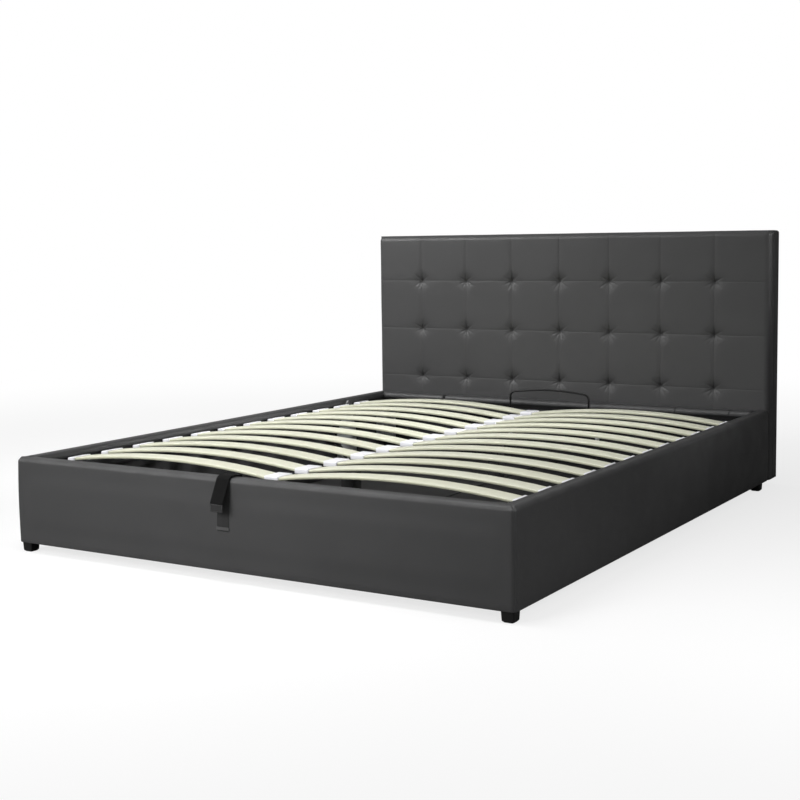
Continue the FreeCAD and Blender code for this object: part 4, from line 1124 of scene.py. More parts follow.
across = fine_places(-pad_high.x, pad_high.x, tuft_x,
                     [side * (pad_high.x - q) for q in RIM_STEPS for side in (-1, 1)])
upward = fine_places(pad_low.z, pad_high.z, tuft_z, [pad_high.z - q for q in RIM_STEPS])
across_swell = np.array([np.interp(across, coarse_x, line) for line in swell])
full_swell = np.array([np.interp(upward, coarse_z, line) for line in across_swell.T])
print("fine front", len(across), "by", len(upward))

# %% [markdown]
# At its sides and top the pad turns back to the board in a soft arc, where it is pinched in a
# little from place to place.  Two rings of points then carry its rim back, and one face closes it.

# %% the headboard pad
PAD_EDGE = 22 * MM
RIM_PINCH = 1.2 * MM
RIM_WAVES = 0.35
RIM_WEAR_HIGHLIGHT_SHARE = 0.18
RIM_WEAR_HIGHLIGHT_START = 4 * MM
SIDE_DEPTH = 44 * MM
points = []
wear_and_highlight_values = []
for r, z in enumerate(upward):
    for c, x in enumerate(across):
        depth = pad_front(x, z)[0] + full_swell[c, r]
        out_x = max(0.0, PAD_EDGE - (pad_high.x - abs(x)))
        out_z = max(0.0, PAD_EDGE - (pad_high.z - z))
        out = min(PAD_EDGE, math.hypot(out_x, out_z))
        turn_in = PAD_EDGE - math.sqrt(max(PAD_EDGE ** 2 - out ** 2, 0))
        pinch = RIM_PINCH * wander(3.3, x * 2, z * 2, RIM_WAVES)
        side = 1 if x > 0 else -1
        edge_x = x - side * abs(pinch) * (out_x / PAD_EDGE)
        points.append((edge_x, depth + turn_in, z - abs(pinch) * out_z / PAD_EDGE))
        # the rim is stored paler: partly wear, partly a painted highlight on its rounded edge
        rim_wear_and_highlight = RIM_WEAR_HIGHLIGHT_SHARE * min(1.0, out / PAD_EDGE)
        wear_and_highlight_values.append(rim_wear_and_highlight if out > RIM_WEAR_HIGHLIGHT_START else 0.0)
columns = len(across)
rows = len(upward)
faces = grid_faces(columns, rows)
rim = list(range(columns)) + [r * columns + columns - 1 for r in range(1, rows)]
rim += [(rows - 1) * columns + c for c in range(columns - 2, -1, -1)]
rim += [r * columns for r in range(rows - 2, 0, -1)]
last = rim
for depth in (PAD_FRONT + SIDE_DEPTH, pad_high.y - BOARD_GAP):
    start = len(points)
    for index in rim:
        points.append((points[index][0], max(depth, points[index][1]), points[index][2]))
        wear_and_highlight_values.append(0.0)
    ring = list(range(start, start + len(rim)))
    for k in range(len(rim)):
        following = (k + 1) % len(rim)
        faces.append((last[following], last[k], ring[k], ring[following]))
    last = ring
faces.append(tuple(last))
pad = new_piece("tufted_pad", points, faces, [leather])
store(pad, "wear_and_highlight", wear_and_highlight_values)
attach(pad, "bed_base")
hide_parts("headboard_pad")
print("pad", len(points), "points")

# %% [markdown]
# ## Headboard edge and back
# A strip of the same cover wraps the frame's edge from the pad to the back.  It is lofted along the
# upright, round the two top corners and down again.  The back is closed by black lining that is
# stretched over the frame and stapled: it dips a little where no timber is behind it.

# %% way and section of the edge wrap
wrap_low, wrap_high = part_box("headboard_right_border")
top_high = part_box("headboard_top_border")[1]
WRAP_THICK = wrap_high.x - wrap_low.x
WRAP_FRONT, WRAP_BACK = wrap_low.y, wrap_high.y
BEND = 10 * MM
UPRIGHT_STEPS, BEND_STEPS, CROSS_STEPS, STRIP_STEPS = 60, 8, 100, 12
STRIP_ROUNDING = 3.0 * MM
STRIP_INSET = 0.2 * MM


def edge_route():
    """Places (x, z) and inward directions along the outer edge, left foot to right foot."""
    top = top_high.z
    side = wrap_high.x
    climb = top - BEND - wrap_low.z
    half = [(-side, wrap_low.z + climb * k / UPRIGHT_STEPS, 1.0, 0.0) for k in range(UPRIGHT_STEPS)]
    for k in range(BEND_STEPS + 1):
        angle = math.pi / 2 * k / BEND_STEPS
        half.append((BEND - side - BEND * math.cos(angle), top - BEND + BEND * math.sin(angle),
                     math.cos(angle), -math.sin(angle)))
    middle = [(-(side - BEND) + 2 * (side - BEND) * k / CROSS_STEPS, top, 0.0, -1.0)
              for k in range(1, CROSS_STEPS)]
    return half + middle + [(-x, z, -a, b) for x, z, a, b in reversed(half)]


def edge_section():
    """(inset, depth) round the strip: padded outside, flat against the frame."""
    deep = WRAP_BACK - WRAP_FRONT
    way = []
    for k in range(STRIP_STEPS + 1):
        share = k / STRIP_STEPS
        inset = max(STRIP_INSET, STRIP_ROUNDING * (2 * share - 1) ** 5)
        way.append((inset, WRAP_FRONT + deep * share))
    return way + [(WRAP_THICK, WRAP_BACK), (WRAP_THICK, WRAP_FRONT)]


strip_section = edge_section()
print("edge wrap section", len(strip_section), "points")

# %% the edge wrap
STRIP_FACE = 2 * MM
STRIP_SOFT = 0.8 * MM
STRIP_WAVES = 0.2
SOFT_RUN = 20 * MM


def strip_softness(x, depth, z):
    """How far the strip sinks towards the frame; it is stretched tight at its front."""
    rear_share = min(1.0, (depth - WRAP_FRONT) / SOFT_RUN)
    return STRIP_SOFT * rear_share * (0.5 + 0.5 * wander(x, depth * 3, z, STRIP_WAVES))


rings = []
for x, z, a, b in edge_route():
    ring = []
    for inset, depth in strip_section:
        soft = strip_softness(x, depth, z) if inset < STRIP_FACE else 0
        ring.append((x + a * (inset + soft), depth, z + b * (inset + soft)))
    rings.append(ring)
points, faces = loft(rings)
wrap = new_piece("headboard_edge_wrap", points, faces, [leather])
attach(wrap, "bed_base")
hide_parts("headboard_left_border", "headboard_right_border", "headboard_top_border")
print("edge wrap", len(points), "points")

# %% the back lining
back_low, back_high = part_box("headboard_back_lining")
rails_low, rails_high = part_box("headboard_cross_rails")
left_post_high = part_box("headboard_left_post")[1]
cloth_width = back_high.x - back_low.x
cloth_height = back_high.z - back_low.z
CLOTH_THICK = 0.8 * MM
CLOTH_DIP = 1.5 * MM
DIP_WAVES = 0.25
SLACK, SLACK_SPREAD = 0.8, 0.3
CROSS_RAIL = 70 * MM
rail_climb = rails_high.z - CROSS_RAIL - rails_low.z
rail_lows = [rails_low.z + rail_climb * k / 2 for k in range(3)]
OPEN_BAYS = [(low + CROSS_RAIL, high) for low, high in zip(rail_lows, rail_lows[1:])]
COLUMNS, ROWS = 96, 56


def lining_dip(x, z):
    """How far the lining sags into the open bays of the frame."""
    for low, high in OPEN_BAYS:
        if low < z < high and abs(x) < -left_post_high.x:
            u = x / left_post_high.x
            v = 2 * (z - low) / (high - low) - 1
            slack = SLACK + SLACK_SPREAD * wander(x, 1.0, z, DIP_WAVES)
            return CLOTH_DIP * (1 - u ** 4) * (1 - v ** 4) * slack
    return 0.0


grid = []
for r in range(ROWS + 1):
    z = back_low.z + cloth_height * r / ROWS
    for c in range(COLUMNS + 1):
        x = back_low.x + cloth_width * c / COLUMNS
        grid.append((x, back_high.y - CLOTH_THICK - lining_dip(x, z), z))
back_cloth = new_piece("back_lining", grid, grid_faces(COLUMNS + 1, ROWS + 1), [lining])
if back_cloth.data.polygons[0].normal.y < 0:
    back_cloth.data.flip_normals()
thicken = back_cloth.modifiers.new("thickness", "SOLIDIFY")
thicken.thickness = CLOTH_THICK
thicken.offset = 1.0
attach(back_cloth, "bed_base")
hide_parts("headboard_back_lining")
print("back lining", round(cloth_width, 3), "by", round(cloth_height, 3))

# %% [markdown]
# ## Repeated pieces with Geometry Nodes
# Slats, caps, screw heads, staples and stitches repeat, so node trees make them.  A helper starts a
# tree with named inputs, and another runs a tree once: it sets the inputs by their identifiers,
# evaluates the object and keeps the result as a plain mesh.

# %% node tree helpers
KINDS = {"float": "NodeSocketFloat", "int": "NodeSocketInt", "vector": "NodeSocketVector",
         "object": "NodeSocketObject", "material": "NodeSocketMaterial"}


def new_tree(name, inputs):
    """A geometry tree with named inputs; returns it and its start node."""
    tree = bpy.data.node_groups.new(name, "GeometryNodeTree")
    tree.interface.new_socket("Geometry", in_out="INPUT", socket_type="NodeSocketGeometry")
    tree.interface.new_socket("Geometry", in_out="OUTPUT", socket_type="NodeSocketGeometry")
    for title, kind in inputs:
        tree.interface.new_socket(title, in_out="INPUT", socket_type=KINDS[kind])
    return tree, tree.nodes.new("NodeGroupInput")


def end_tree(tree, instances, finish):
    """Close a tree: instances become real faces and get their finish."""
    real = add_node(tree, "GeometryNodeRealizeInstances", Geometry=instances)
    dressed = add_node(tree, "GeometryNodeSetMaterial", Geometry=real.outputs[0], Material=finish)
    last = tree.nodes.new("NodeGroupOutput")
    tree.links.new(dressed.outputs[0], last.inputs[0])


print("inputs may be", *KINDS)

# %% run a tree and shade the result
def run_tree(name, tree, values, mesh=None):
    """Evaluate a tree once and keep the result as a plain mesh piece."""
    worker = bpy.data.objects.new(name + "_maker", mesh or bpy.data.meshes.new(name + "_start"))
    scene.collection.objects.link(worker)
    modifier = worker.modifiers.new("maker", "NODES")
    modifier.node_group = tree
    for item in tree.interface.items_tree:
        if item.in_out == "INPUT" and item.name in values:
            modifier[item.identifier] = values[item.name]
    ready = worker.evaluated_get(bpy.context.evaluated_depsgraph_get())
    made = bpy.data.meshes.new_from_object(ready)
    made.name = name
    bpy.data.objects.remove(worker)
    made.shade_smooth()
    piece = bpy.data.objects.new(name, made)
    scene.collection.objects.link(piece)
    print(name, len(made.vertices), "points", len(made.polygons), "faces")
    return piece


def soften(piece, degrees):
    """Smooth shading, but for edges that turn by more than the given degrees."""
    for polygon in piece.data.polygons:
        polygon.use_smooth = True
    shape = bmesh.new()
    shape.from_mesh(piece.data)
    limit = math.radians(degrees)
    for edge in shape.edges:
        edge.smooth = not (len(edge.link_faces) == 2 and edge.calc_face_angle(0) > limit)
    shape.to_mesh(piece.data)
    shape.free()


print("tree helpers ready")

# %% [markdown]
# ### Sprung slats
# A slat is a strip with rounded edges bent to a shallow arc.  The tree draws the arc through three
# points, sweeps a rounded section along it and repeats the slat along the bed.  Before the sweep
# the section keeps its own height as ply, and every slat gets a random tone from a fixed seed.

# %% slat tree
slat_tree, start = new_tree("slat_row", [
    ("Inner", "float"), ("Outer", "float"), ("Seat", "float"), ("Bow", "float"), ("Width", "float"),
    ("Thickness", "float"), ("Edge Radius", "float"), ("Count", "int"), ("First", "float"),
    ("Pitch", "float"), ("Seed", "int"), ("Finish", "material")])
take = start.outputs


def slat_math(operation, first, second):
    """The result of a sum inside the slat tree."""
    made = add_node(slat_tree, "ShaderNodeMath", operation=operation, I0=first, I1=second)
    return made.outputs[0]


ARC_STEPS, EDGE_STEPS = 40, 5
centre_z = slat_math("ADD", take["Seat"], slat_math("MULTIPLY", take["Thickness"], 0.5))
bow_z = slat_math("ADD", centre_z, take["Bow"])
middle_x = slat_math("MULTIPLY", slat_math("ADD", take["Inner"], take["Outer"]), 0.5)
spots = [add_node(slat_tree, "ShaderNodeCombineXYZ", X=x, Y=take["First"], Z=z).outputs[0]
         for x, z in ((take["Inner"], centre_z), (middle_x, bow_z), (take["Outer"], centre_z))]
bent = add_node(slat_tree, "GeometryNodeCurveArc", mode="POINTS", Resolution=ARC_STEPS,
                Start=spots[0], Middle=spots[1], End=spots[2])
level_arc = add_node(slat_tree, "GeometryNodeSetCurveNormal", mode="Z_UP", Curve=bent.outputs[0])
strip = add_node(slat_tree, "GeometryNodeCurvePrimitiveQuadrilateral", mode="RECTANGLE",
                 Width=take["Width"], Height=take["Thickness"])
rounded = add_node(slat_tree, "GeometryNodeFilletCurve", mode="POLY", Curve=strip.outputs[0],
                   Count=EDGE_STEPS, Radius=take["Edge Radius"])
in_strip = add_node(slat_tree, "ShaderNodeSeparateXYZ",
                    Vector=add_node(slat_tree, "GeometryNodeInputPosition").outputs[0])
marked = add_node(slat_tree, "GeometryNodeStoreNamedAttribute", data_type="FLOAT", domain="POINT",
                  Geometry=rounded.outputs[0], Name="ply", Value=in_strip.outputs["Y"])
swept = add_node(slat_tree, "GeometryNodeCurveToMesh", Curve=level_arc.outputs[0],
                 Profile_Curve=marked.outputs[0], Fill_Caps=True)
step = add_node(slat_tree, "ShaderNodeCombineXYZ", Y=take["Pitch"])
row = add_node(slat_tree, "GeometryNodeMeshLine", mode="OFFSET", Count=take["Count"],
               Offset=step.outputs[0])
placed = add_node(slat_tree, "GeometryNodeInstanceOnPoints", Points=row.outputs[0],
                  Instance=swept.outputs[0])
chance = add_node(slat_tree, "FunctionNodeRandomValue", data_type="FLOAT", Seed=take["Seed"])
toned = add_node(slat_tree, "GeometryNodeStoreNamedAttribute", data_type="FLOAT", domain="INSTANCE",
                 Geometry=placed.outputs[0], Name="tone", Value=chance.outputs[1])
end_tree(slat_tree, toned.outputs[0], take["Finish"])
print("slat tree", len(slat_tree.nodes), "nodes")

# %% two columns of slats
SLAT_COUNT = 12
SLAT_WIDTH = 66 * MM
SLAT_THICK = 9 * MM
SLAT_BOW = 28 * MM
SLAT_EDGE = 3.8 * MM
slat_low, slat_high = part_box("right_slats")
slat_first = slat_low.y + SLAT_WIDTH / 2
slat_pitch = (slat_high.y - slat_low.y - SLAT_WIDTH) / (SLAT_COUNT - 1)
for column, side, seed in (("right", 1, 4), ("left", -1, 11)):
    ends = sorted((side * slat_low.x, side * slat_high.x))
    piece = run_tree(column + "_slat_column", slat_tree, {
        "Inner": ends[0], "Outer": ends[1], "Seat": slat_low.z, "Bow": SLAT_BOW,
        "Width": SLAT_WIDTH, "Thickness": SLAT_THICK, "Edge Radius": SLAT_EDGE,
        "Count": SLAT_COUNT, "First": slat_first, "Pitch": slat_pitch, "Seed": seed,
        "Finish": birch})
    soften(piece, degrees=50)
    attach(piece, "platform")
    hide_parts(column + "_slats")

# %% [markdown]
# ### Slat caps
# Each slat end sits in a white moulded cap.  One cap is lofted as a sleeve: the rings go
# out of the pocket, round the lip and back along the outside.  A short tree then repeats it along
# the platform.  The caps on the centre tube hold two slats, one from each side.

# %% cap row tree
row_tree, start = new_tree("piece_row", [
    ("Count", "int"), ("Step", "vector"), ("Finish", "material")])
take = start.outputs
row = add_node(row_tree, "GeometryNodeMeshLine", mode="OFFSET", Count=take["Count"],
               Offset=take["Step"])
placed = add_node(row_tree, "GeometryNodeInstanceOnPoints", Points=row.outputs[0],
                  Instance=take["Geometry"])
end_tree(row_tree, placed.outputs[0], take["Finish"])
print("row tree", len(row_tree.nodes), "nodes")

# %% pocket of a cap
SLIP = 0.2 * MM
POCKET_RADIUS = 3.6 * MM
slat_middle = (slat_low.x + slat_high.x) / 2
slat_bend = ((slat_high.x - slat_low.x) ** 2 / 4 + SLAT_BOW ** 2) / (2 * SLAT_BOW)


def slat_rise(x):
    """Height of a slat's underside over its seat at x."""
    return math.sqrt(slat_bend ** 2 - (x - slat_middle) ** 2) - slat_bend + SLAT_BOW


def cap_ring(x, half, low, high, radius):
    """A rounded rectangle across the bed's length at x."""
    corners = ((half - radius, high - radius), (radius - half, high - radius),
               (radius - half, low + radius), (half - radius, low + radius))
    ring = []
    for k, corner in enumerate(corners):
        ring += [(x, y, z) for y, z in arc_points(corner, radius, 90 * k, 90 * k + 90, 3)]
    return ring


def pocket_ring(x, grow=0.0):
    """The pocket at x, which follows the slat with a little slip."""
    rise = slat_rise(x)
    return cap_ring(x, SLAT_WIDTH / 2 + SLIP + grow, slat_low.z + rise - SLIP - grow,
                    slat_low.z + SLAT_THICK + rise + SLIP + grow, POCKET_RADIUS)


print("slat end", round(slat_rise(slat_high.x) / MM, 2), "mm over its seat")

# %% rings of a cap
CAP_WALL = 4 * MM
CAP_FLOOR = 3 * MM
CAP_RADIUS = 3.2 * MM
CAP_LIP = 1.2 * MM
CAP_FOOT_SHARE = 0.2
CAP_SHARES = (0.3, 0.6, 0.9)
MOUTH_RUN = 0.8 * MM
MOUTH_FLARE = 0.1 * MM
SIDE_CAP = 28 * MM
END_LIP = 1 * MM


def cap_half_rings(mouth, inside, outside, flat_top):
    """Rings from the pocket's end, out of the mouth and back over the outside."""
    outer_half = SLAT_WIDTH / 2 + CAP_WALL
    seat = slat_low.z - CAP_FLOOR
    way = 1 if mouth > inside else -1
    rings = [pocket_ring(inside), pocket_ring(mouth - way * MOUTH_RUN),
             pocket_ring(mouth, MOUTH_FLARE)]

    def outer(x, shrink=0.0):
        """The outside at x, drawn in by shrink metres."""
        rise = slat_rise(mouth if flat_top else x)
        top = slat_low.z + SLAT_THICK + CAP_FLOOR + rise
        return cap_ring(x, outer_half - shrink, seat + shrink * CAP_FOOT_SHARE, top - shrink,
                        CAP_RADIUS)

    rings += [outer(mouth, CAP_LIP), outer(mouth - way * CAP_LIP)]
    rings += [outer(mouth + (outside - mouth) * share) for share in CAP_SHARES]
    return rings, outer


def side_cap():
    """The cap at a slat's outer end, closed by a rounded wall."""
    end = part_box("side_caps")[1].x
    rings, outer = cap_half_rings(end - SIDE_CAP, slat_high.x + SLIP, end, False)
    return rings + [outer(end - END_LIP), outer(end, CAP_LIP)]


def centre_cap():
    """The cap on the centre tube, with a pocket on both sides."""
    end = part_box("centre_caps")[1].x
    right_rings = cap_half_rings(end, slat_low.x - SLIP, 0.0, True)[0]
    left_rings = [[(-x, y, z) for x, y, z in ring] for ring in reversed(right_rings)]
    return right_rings + left_rings


print("cap rings", len(side_cap()), "and", len(centre_cap()))

# %% rows of caps
def pattern_mesh(name, lofts, finish):
    """One mesh of several lofted shells, to be repeated by a tree."""
    points = []
    faces = []
    for rings in lofts:
        more_points, more_faces = loft(rings)
        faces += [tuple(index + len(points) for index in face) for face in more_faces]
        points += more_points
    pattern = new_piece(name, points, faces, [finish])
    mesh = pattern.data
    bpy.data.objects.remove(pattern)
    return mesh


def at_first_slat(rings, mirror=1):
    """Rings moved along the bed to its first slat, and to the other side by a mirror of -1."""
    return [[(mirror * x, y + slat_first, z) for x, y, z in ring] for ring in rings]


row_values = {"Count": SLAT_COUNT, "Step": (0, slat_pitch, 0), "Finish": white_plastic}
side_caps = [at_first_slat(side_cap(), mirror) for mirror in (1, -1)]
for name, lofts, node_name in (("side_cap_row", side_caps, "side_caps"),
                               ("centre_cap_row", [at_first_slat(centre_cap())], "centre_caps")):
    piece = run_tree(name, row_tree, row_values, pattern_mesh(name + "_cap", lofts, white_plastic))
    soften(piece, degrees=40)
    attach(piece, "platform")
    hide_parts(node_name)

# %% [markdown]
# ### Screw heads and staples
# A screw head is a low dome with a cross recess; a staple is a bent wire.  Both are made once and
# set on a list of places by one tree, which turns each piece to face the way that its place says.

# %% tree that sets a piece on places
spot_tree, start = new_tree("piece_on_places", [("Places", "object"), ("Finish", "material")])
take = start.outputs
places = add_node(spot_tree, "GeometryNodeObjectInfo", Object=take["Places"])
facing = add_node(spot_tree, "GeometryNodeInputNamedAttribute", data_type="FLOAT_VECTOR",
                  Name="facing")
turned = add_node(spot_tree, "FunctionNodeAlignRotationToVector", axis="Z",
                  Vector=facing.outputs[0])
spin = add_node(spot_tree, "GeometryNodeInputNamedAttribute", data_type="FLOAT", Name="spin")
spun = add_node(spot_tree, "FunctionNodeAxisAngleToRotation", Angle=spin.outputs[0])
both = add_node(spot_tree, "FunctionNodeRotateRotation", rotation_space="LOCAL",
                I0=turned.outputs[0], I1=spun.outputs[0])
placed = add_node(spot_tree, "GeometryNodeInstanceOnPoints", Points=places.outputs["Geometry"],
                  Instance=take["Geometry"], Rotation=both.outputs[0])
end_tree(spot_tree, placed.outputs[0], take["Finish"])


def set_on_places(name, mesh, spots, finish):
    """spots: (place, facing, spin) for every copy of the mesh, which faces +Z."""
    marks = bpy.data.meshes.new(name + "_places")
    marks.from_pydata([tuple(s[0]) for s in spots], [], [])
    marks.attributes.new("facing", "FLOAT_VECTOR", "POINT").data.foreach_set(
        "vector", [q for s in spots for q in s[1]])
    marks.attributes.new("spin", "FLOAT", "POINT").data.foreach_set("value", [s[2] for s in spots])
    holder = bpy.data.objects.new(name + "_places", marks)
    scene.collection.objects.link(holder)
    piece = run_tree(name, spot_tree, {"Places": holder, "Finish": finish}, mesh)
    bpy.data.objects.remove(holder)
    return piece


print("places tree", len(spot_tree.nodes), "nodes")

# %% screw head
HEAD_SIDES = 24
HEAD_SHARES = ((1.0, 0.0), (1.0, 0.35), (0.93, 0.65), (0.78, 0.87), (0.55, 1.0))
RECESS_SHARES = ((1.0, 1.02), (0.85, 0.45))
RECESS_CORE_SHARE, RECESS_ARM_SHARE = 0.14, 0.32


def screw_head(radius, height):
    """A low domed head that faces +Z, with a cross recess sunk into it."""
    angles = [2 * math.pi * k / HEAD_SIDES for k in range(HEAD_SIDES)]
    rings = []
    for share, level in HEAD_SHARES:
        rings.append([(radius * share * math.cos(angle), radius * share * math.sin(angle),
                       height * level) for angle in angles])
    for share, level in RECESS_SHARES:
        ring = []
        for angle in angles:
            arm = abs(math.cos(2 * angle)) ** 3
            reach = radius * (RECESS_CORE_SHARE + RECESS_ARM_SHARE * arm) * share
            ring.append((reach * math.cos(angle), reach * math.sin(angle), height * level))
        rings.append(ring)
    return pattern_mesh("screw_head", [rings], zinc_with_painted_shade)


print("screw head ready")

# %% [markdown]
# The places come from the boxes of the construction model's own brackets, tubes and bolts, and from
# its hinge line.  Each place has a turn of its own, so that no two recesses stand quite alike.

# %% places of the screws and bolts
corner_low, corner_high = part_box("corner_brackets")
CORNER_REACH = 40 * MM
CORNER_PLATE = 3 * MM
HOLE_MARGIN = 20 * MM
inner_x, foot_inner, head_inner = corner_high.x, corner_low.y, corner_high.y
corner_spots = []
for z in (corner_low.z + HOLE_MARGIN, corner_high.z - HOLE_MARGIN):
    for side in (-1, 1):
        across_x = side * (inner_x - CORNER_REACH)
        seat_x = side * (inner_x - CORNER_PLATE)
        inward = (-side, 0, 0)
        corner_spots += [
            ((across_x, foot_inner + CORNER_PLATE, z), (0, 1, 0), across_x + z),
            ((across_x, head_inner - CORNER_PLATE, z), (0, -1, 0), across_x * 3 + z),
            ((seat_x, foot_inner + CORNER_REACH, z), inward, seat_x + 2 * z),
            ((seat_x, head_inner - CORNER_REACH, z), inward, seat_x + 5 * z)]
lift = next(joint for joint in frame["joints"] if joint["name"] == "platform_lift")
hinge = Vector(lift["pos_m"])
LIFT_PLATE = 4 * MM
BRACKET_HOLES = ((37, -138), (37, -194.52), (-67, -138), (0, -60))
bracket_x = inner_x - LIFT_PLATE
bracket_spots = [((side * bracket_x, hinge.y + run * MM, hinge.z + rise * MM),
                  (-side, 0, 0), run * rise)
                 for side in (-1, 1) for run, rise in BRACKET_HOLES]
tube_low, tube_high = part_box("platform_right_tube")
ARM_BOLTS = (-110, -180)
arm_x = tube_high.x + LIFT_PLATE
tube_z = (tube_low.z + tube_high.z) / 2
arm_spots = [((side * arm_x, hinge.y + run * MM, tube_z), (side, 0, 0), run)
             for side in (-1, 1) for run in ARM_BOLTS]
bolt_low, bolt_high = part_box("headboard_bolts")
BOLT_PITCH = 380 * MM
BOLT_SHARES = (-1.5, -0.5, 0.5, 1.5)
bolt_spots = [((BOLT_PITCH * share, head_inner, (bolt_low.z + bolt_high.z) / 2), (0, -1, 0), share)
              for share in BOLT_SHARES]
print("places", len(corner_spots), len(bracket_spots), len(arm_spots), len(bolt_spots))

# %% screw and bolt heads
SCREW = (7 * MM, 3 * MM)
BOLT = (9 * MM, 5 * MM)
for name, spots, size, node_name, body in (
        ("corner_screw_heads", corner_spots, SCREW, "corner_screws", "bed_base"),
        ("bracket_screw_heads", bracket_spots, SCREW, "bracket_screws", "bed_base"),
        ("arm_bolt_heads", arm_spots, SCREW, "arm_bolts", "platform"),
        ("headboard_bolt_heads", bolt_spots, BOLT, "headboard_bolts", "bed_base")):
    piece = set_on_places(name, screw_head(*size), spots, zinc_with_painted_shade)
    soften(piece, degrees=30)
    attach(piece, body)
    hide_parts(node_name)

# %% [markdown]
# Staples hold the lining on the headboard's back and the folded cover under the rails.  They are
# shot in by hand, so each is a little askew.

# %% staple and its places on the back
STAPLE_WIDTH = 10 * MM
STAPLE_WIRE = 0.6 * MM
STAPLE_LEG = 2 * MM
STAPLE_SHOULDER = 0.2 * MM
STAPLE_BEND = 0.6 * MM
STAPLE_RISE = 0.55 * MM


def staple():
    """A flat wire that lies on the cloth, its two ends going in; it faces +Z."""
    half = STAPLE_WIDTH / 2
    right_half = [(half - STAPLE_BEND, STAPLE_RISE), (half, STAPLE_SHOULDER), (half, -STAPLE_LEG)]
    route = [(-x, z) for x, z in reversed(right_half)] + right_half
    rings = []
    for k, (x, z) in enumerate(route):
        before = Vector(route[max(k - 1, 0)])
        after = Vector(route[min(k + 1, len(route) - 1)])
        run = (after - before).normalized()
        across_wire = Vector((-run.y, run.x)) * STAPLE_WIRE / 2
        rings.append([(x + across_wire.x * a, b * STAPLE_WIRE, z + across_wire.y * a)
                      for a, b in ((1, 1), (1, -1), (-1, -1), (-1, 1))])
    return pattern_mesh("staple", [rings], zinc_with_painted_shade)


BACK_PITCH = 42 * MM
BACK_MARGIN = 12 * MM
BACK_SKEW = 0.25
SKEW_WAVES = 0.03
back_spots = []
across_count = int(cloth_width / BACK_PITCH)
upward_count = int(cloth_height / BACK_PITCH)
for k in range(across_count + 1):
    x = back_low.x + BACK_MARGIN + (cloth_width - 2 * BACK_MARGIN) * k / across_count
    for z in (back_low.z + BACK_MARGIN, back_high.z - BACK_MARGIN):
        skew = BACK_SKEW * wander(x, z, 0.5, SKEW_WAVES)
        back_spots.append(((x, back_high.y, z), (0, 1, 0), skew))
for k in range(1, upward_count):
    z = back_low.z + BACK_MARGIN + (cloth_height - 2 * BACK_MARGIN) * k / upward_count
    for x in (back_low.x + BACK_MARGIN, back_high.x - BACK_MARGIN):
        skew = BACK_SKEW * wander(x, z, 1.5, SKEW_WAVES)
        back_spots.append(((x, back_high.y, z), (0, 1, 0), math.pi / 2 + skew))
print("staples on the back", len(back_spots))

# %% staples under the rails
UNDER_PITCH = 60 * MM
UNDER_MARGIN = 120 * MM
UNDER_INSET = 17 * MM
UNDER_SKEW = 0.2
UNDER_WAVES = 0.05
DOWN = (0, 0, -1)
under_z = RAIL_BOTTOM - FOLD_DROP
under_spots = []
for k in range(int(2 * (half_width - UNDER_MARGIN) / UNDER_PITCH) + 1):
    x = UNDER_MARGIN - half_width + UNDER_PITCH * k
    skew = UNDER_SKEW * wander(x, 2, 0, UNDER_WAVES)
    under_spots.append(((x, foot_face + UNDER_INSET, under_z), DOWN, skew))
for k in range(int((side_length - 2 * UNDER_MARGIN) / UNDER_PITCH) + 1):
    y = foot_face + UNDER_MARGIN + UNDER_PITCH * k
    for side in (-1, 1):
        skew = UNDER_SKEW * wander(y, side, 0, UNDER_WAVES)
        under_spots.append(((side * (half_width - UNDER_INSET), y, under_z), DOWN,
                            math.pi / 2 + skew))
for name, spots in (("back_staples", back_spots), ("rail_staples", under_spots)):
    piece = set_on_places(name, staple(), spots, zinc_with_painted_shade)
    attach(piece, "bed_base")

# %% [markdown]
# ## Pull strap
# The platform is opened by a strap of webbing.  It is fixed to the foot tube, comes up over the
# foot rail and hangs down outside in two layers.  The rear one lies flat and ends in a hem bound
# with paler tape.  The front one is shorter and stiff: it stands out from the rail, and its end
# turns down in a stitched tab.  Webbing is flat tape, so it is lofted directly: a thin rounded
# section carried along a route.

# %% sizes and routes of a tape
strap_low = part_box("pull_strap")[0]
anchor_low, anchor_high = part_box("strap_anchor")
STRAP_X = (anchor_low.x + anchor_high.x) / 2
TAPE_WIDTH = anchor_high.x - anchor_low.x
TAPE_THICK = 1.7 * MM


def smooth_route(corners, count):
    """Points on a soft line through the corners, count to each stretch."""
    corners = [Vector(c) for c in corners]
    line = []
    for k in range(len(corners) - 1):
        before = corners[max(k - 1, 0)]
        after = corners[min(k + 2, len(corners) - 1)]
        a, b = corners[k], corners[k + 1]
        for j in range(count):
            t = j / count
            line.append(0.5 * (2 * a + (b - before) * t
                               + (2 * before - 5 * a + 4 * b - after) * t * t
                               + (3 * a - before - 3 * b + after) * t ** 3))
    return line + [corners[-1]]


print("strap at", round(STRAP_X, 4), "width", round(TAPE_WIDTH, 4))

# %% tape helper
FACE_SHARES = ((-1, 0.35), (-0.96, 0.5), (-0.5, 0.44), (0, 0.44), (0.5, 0.44), (0.96, 0.5),
               (1, 0.35))
TAPE_SHARES = FACE_SHARES + tuple((a, -b) for a, b in reversed(FACE_SHARES))


def tape_sides(run):
    """Directions across a tape, near X, and out of its face, where it runs along run."""
    sideways = Vector((1, 0, 0)) - run * run.x
    sideways.normalize()
    return sideways, run.cross(sideways)


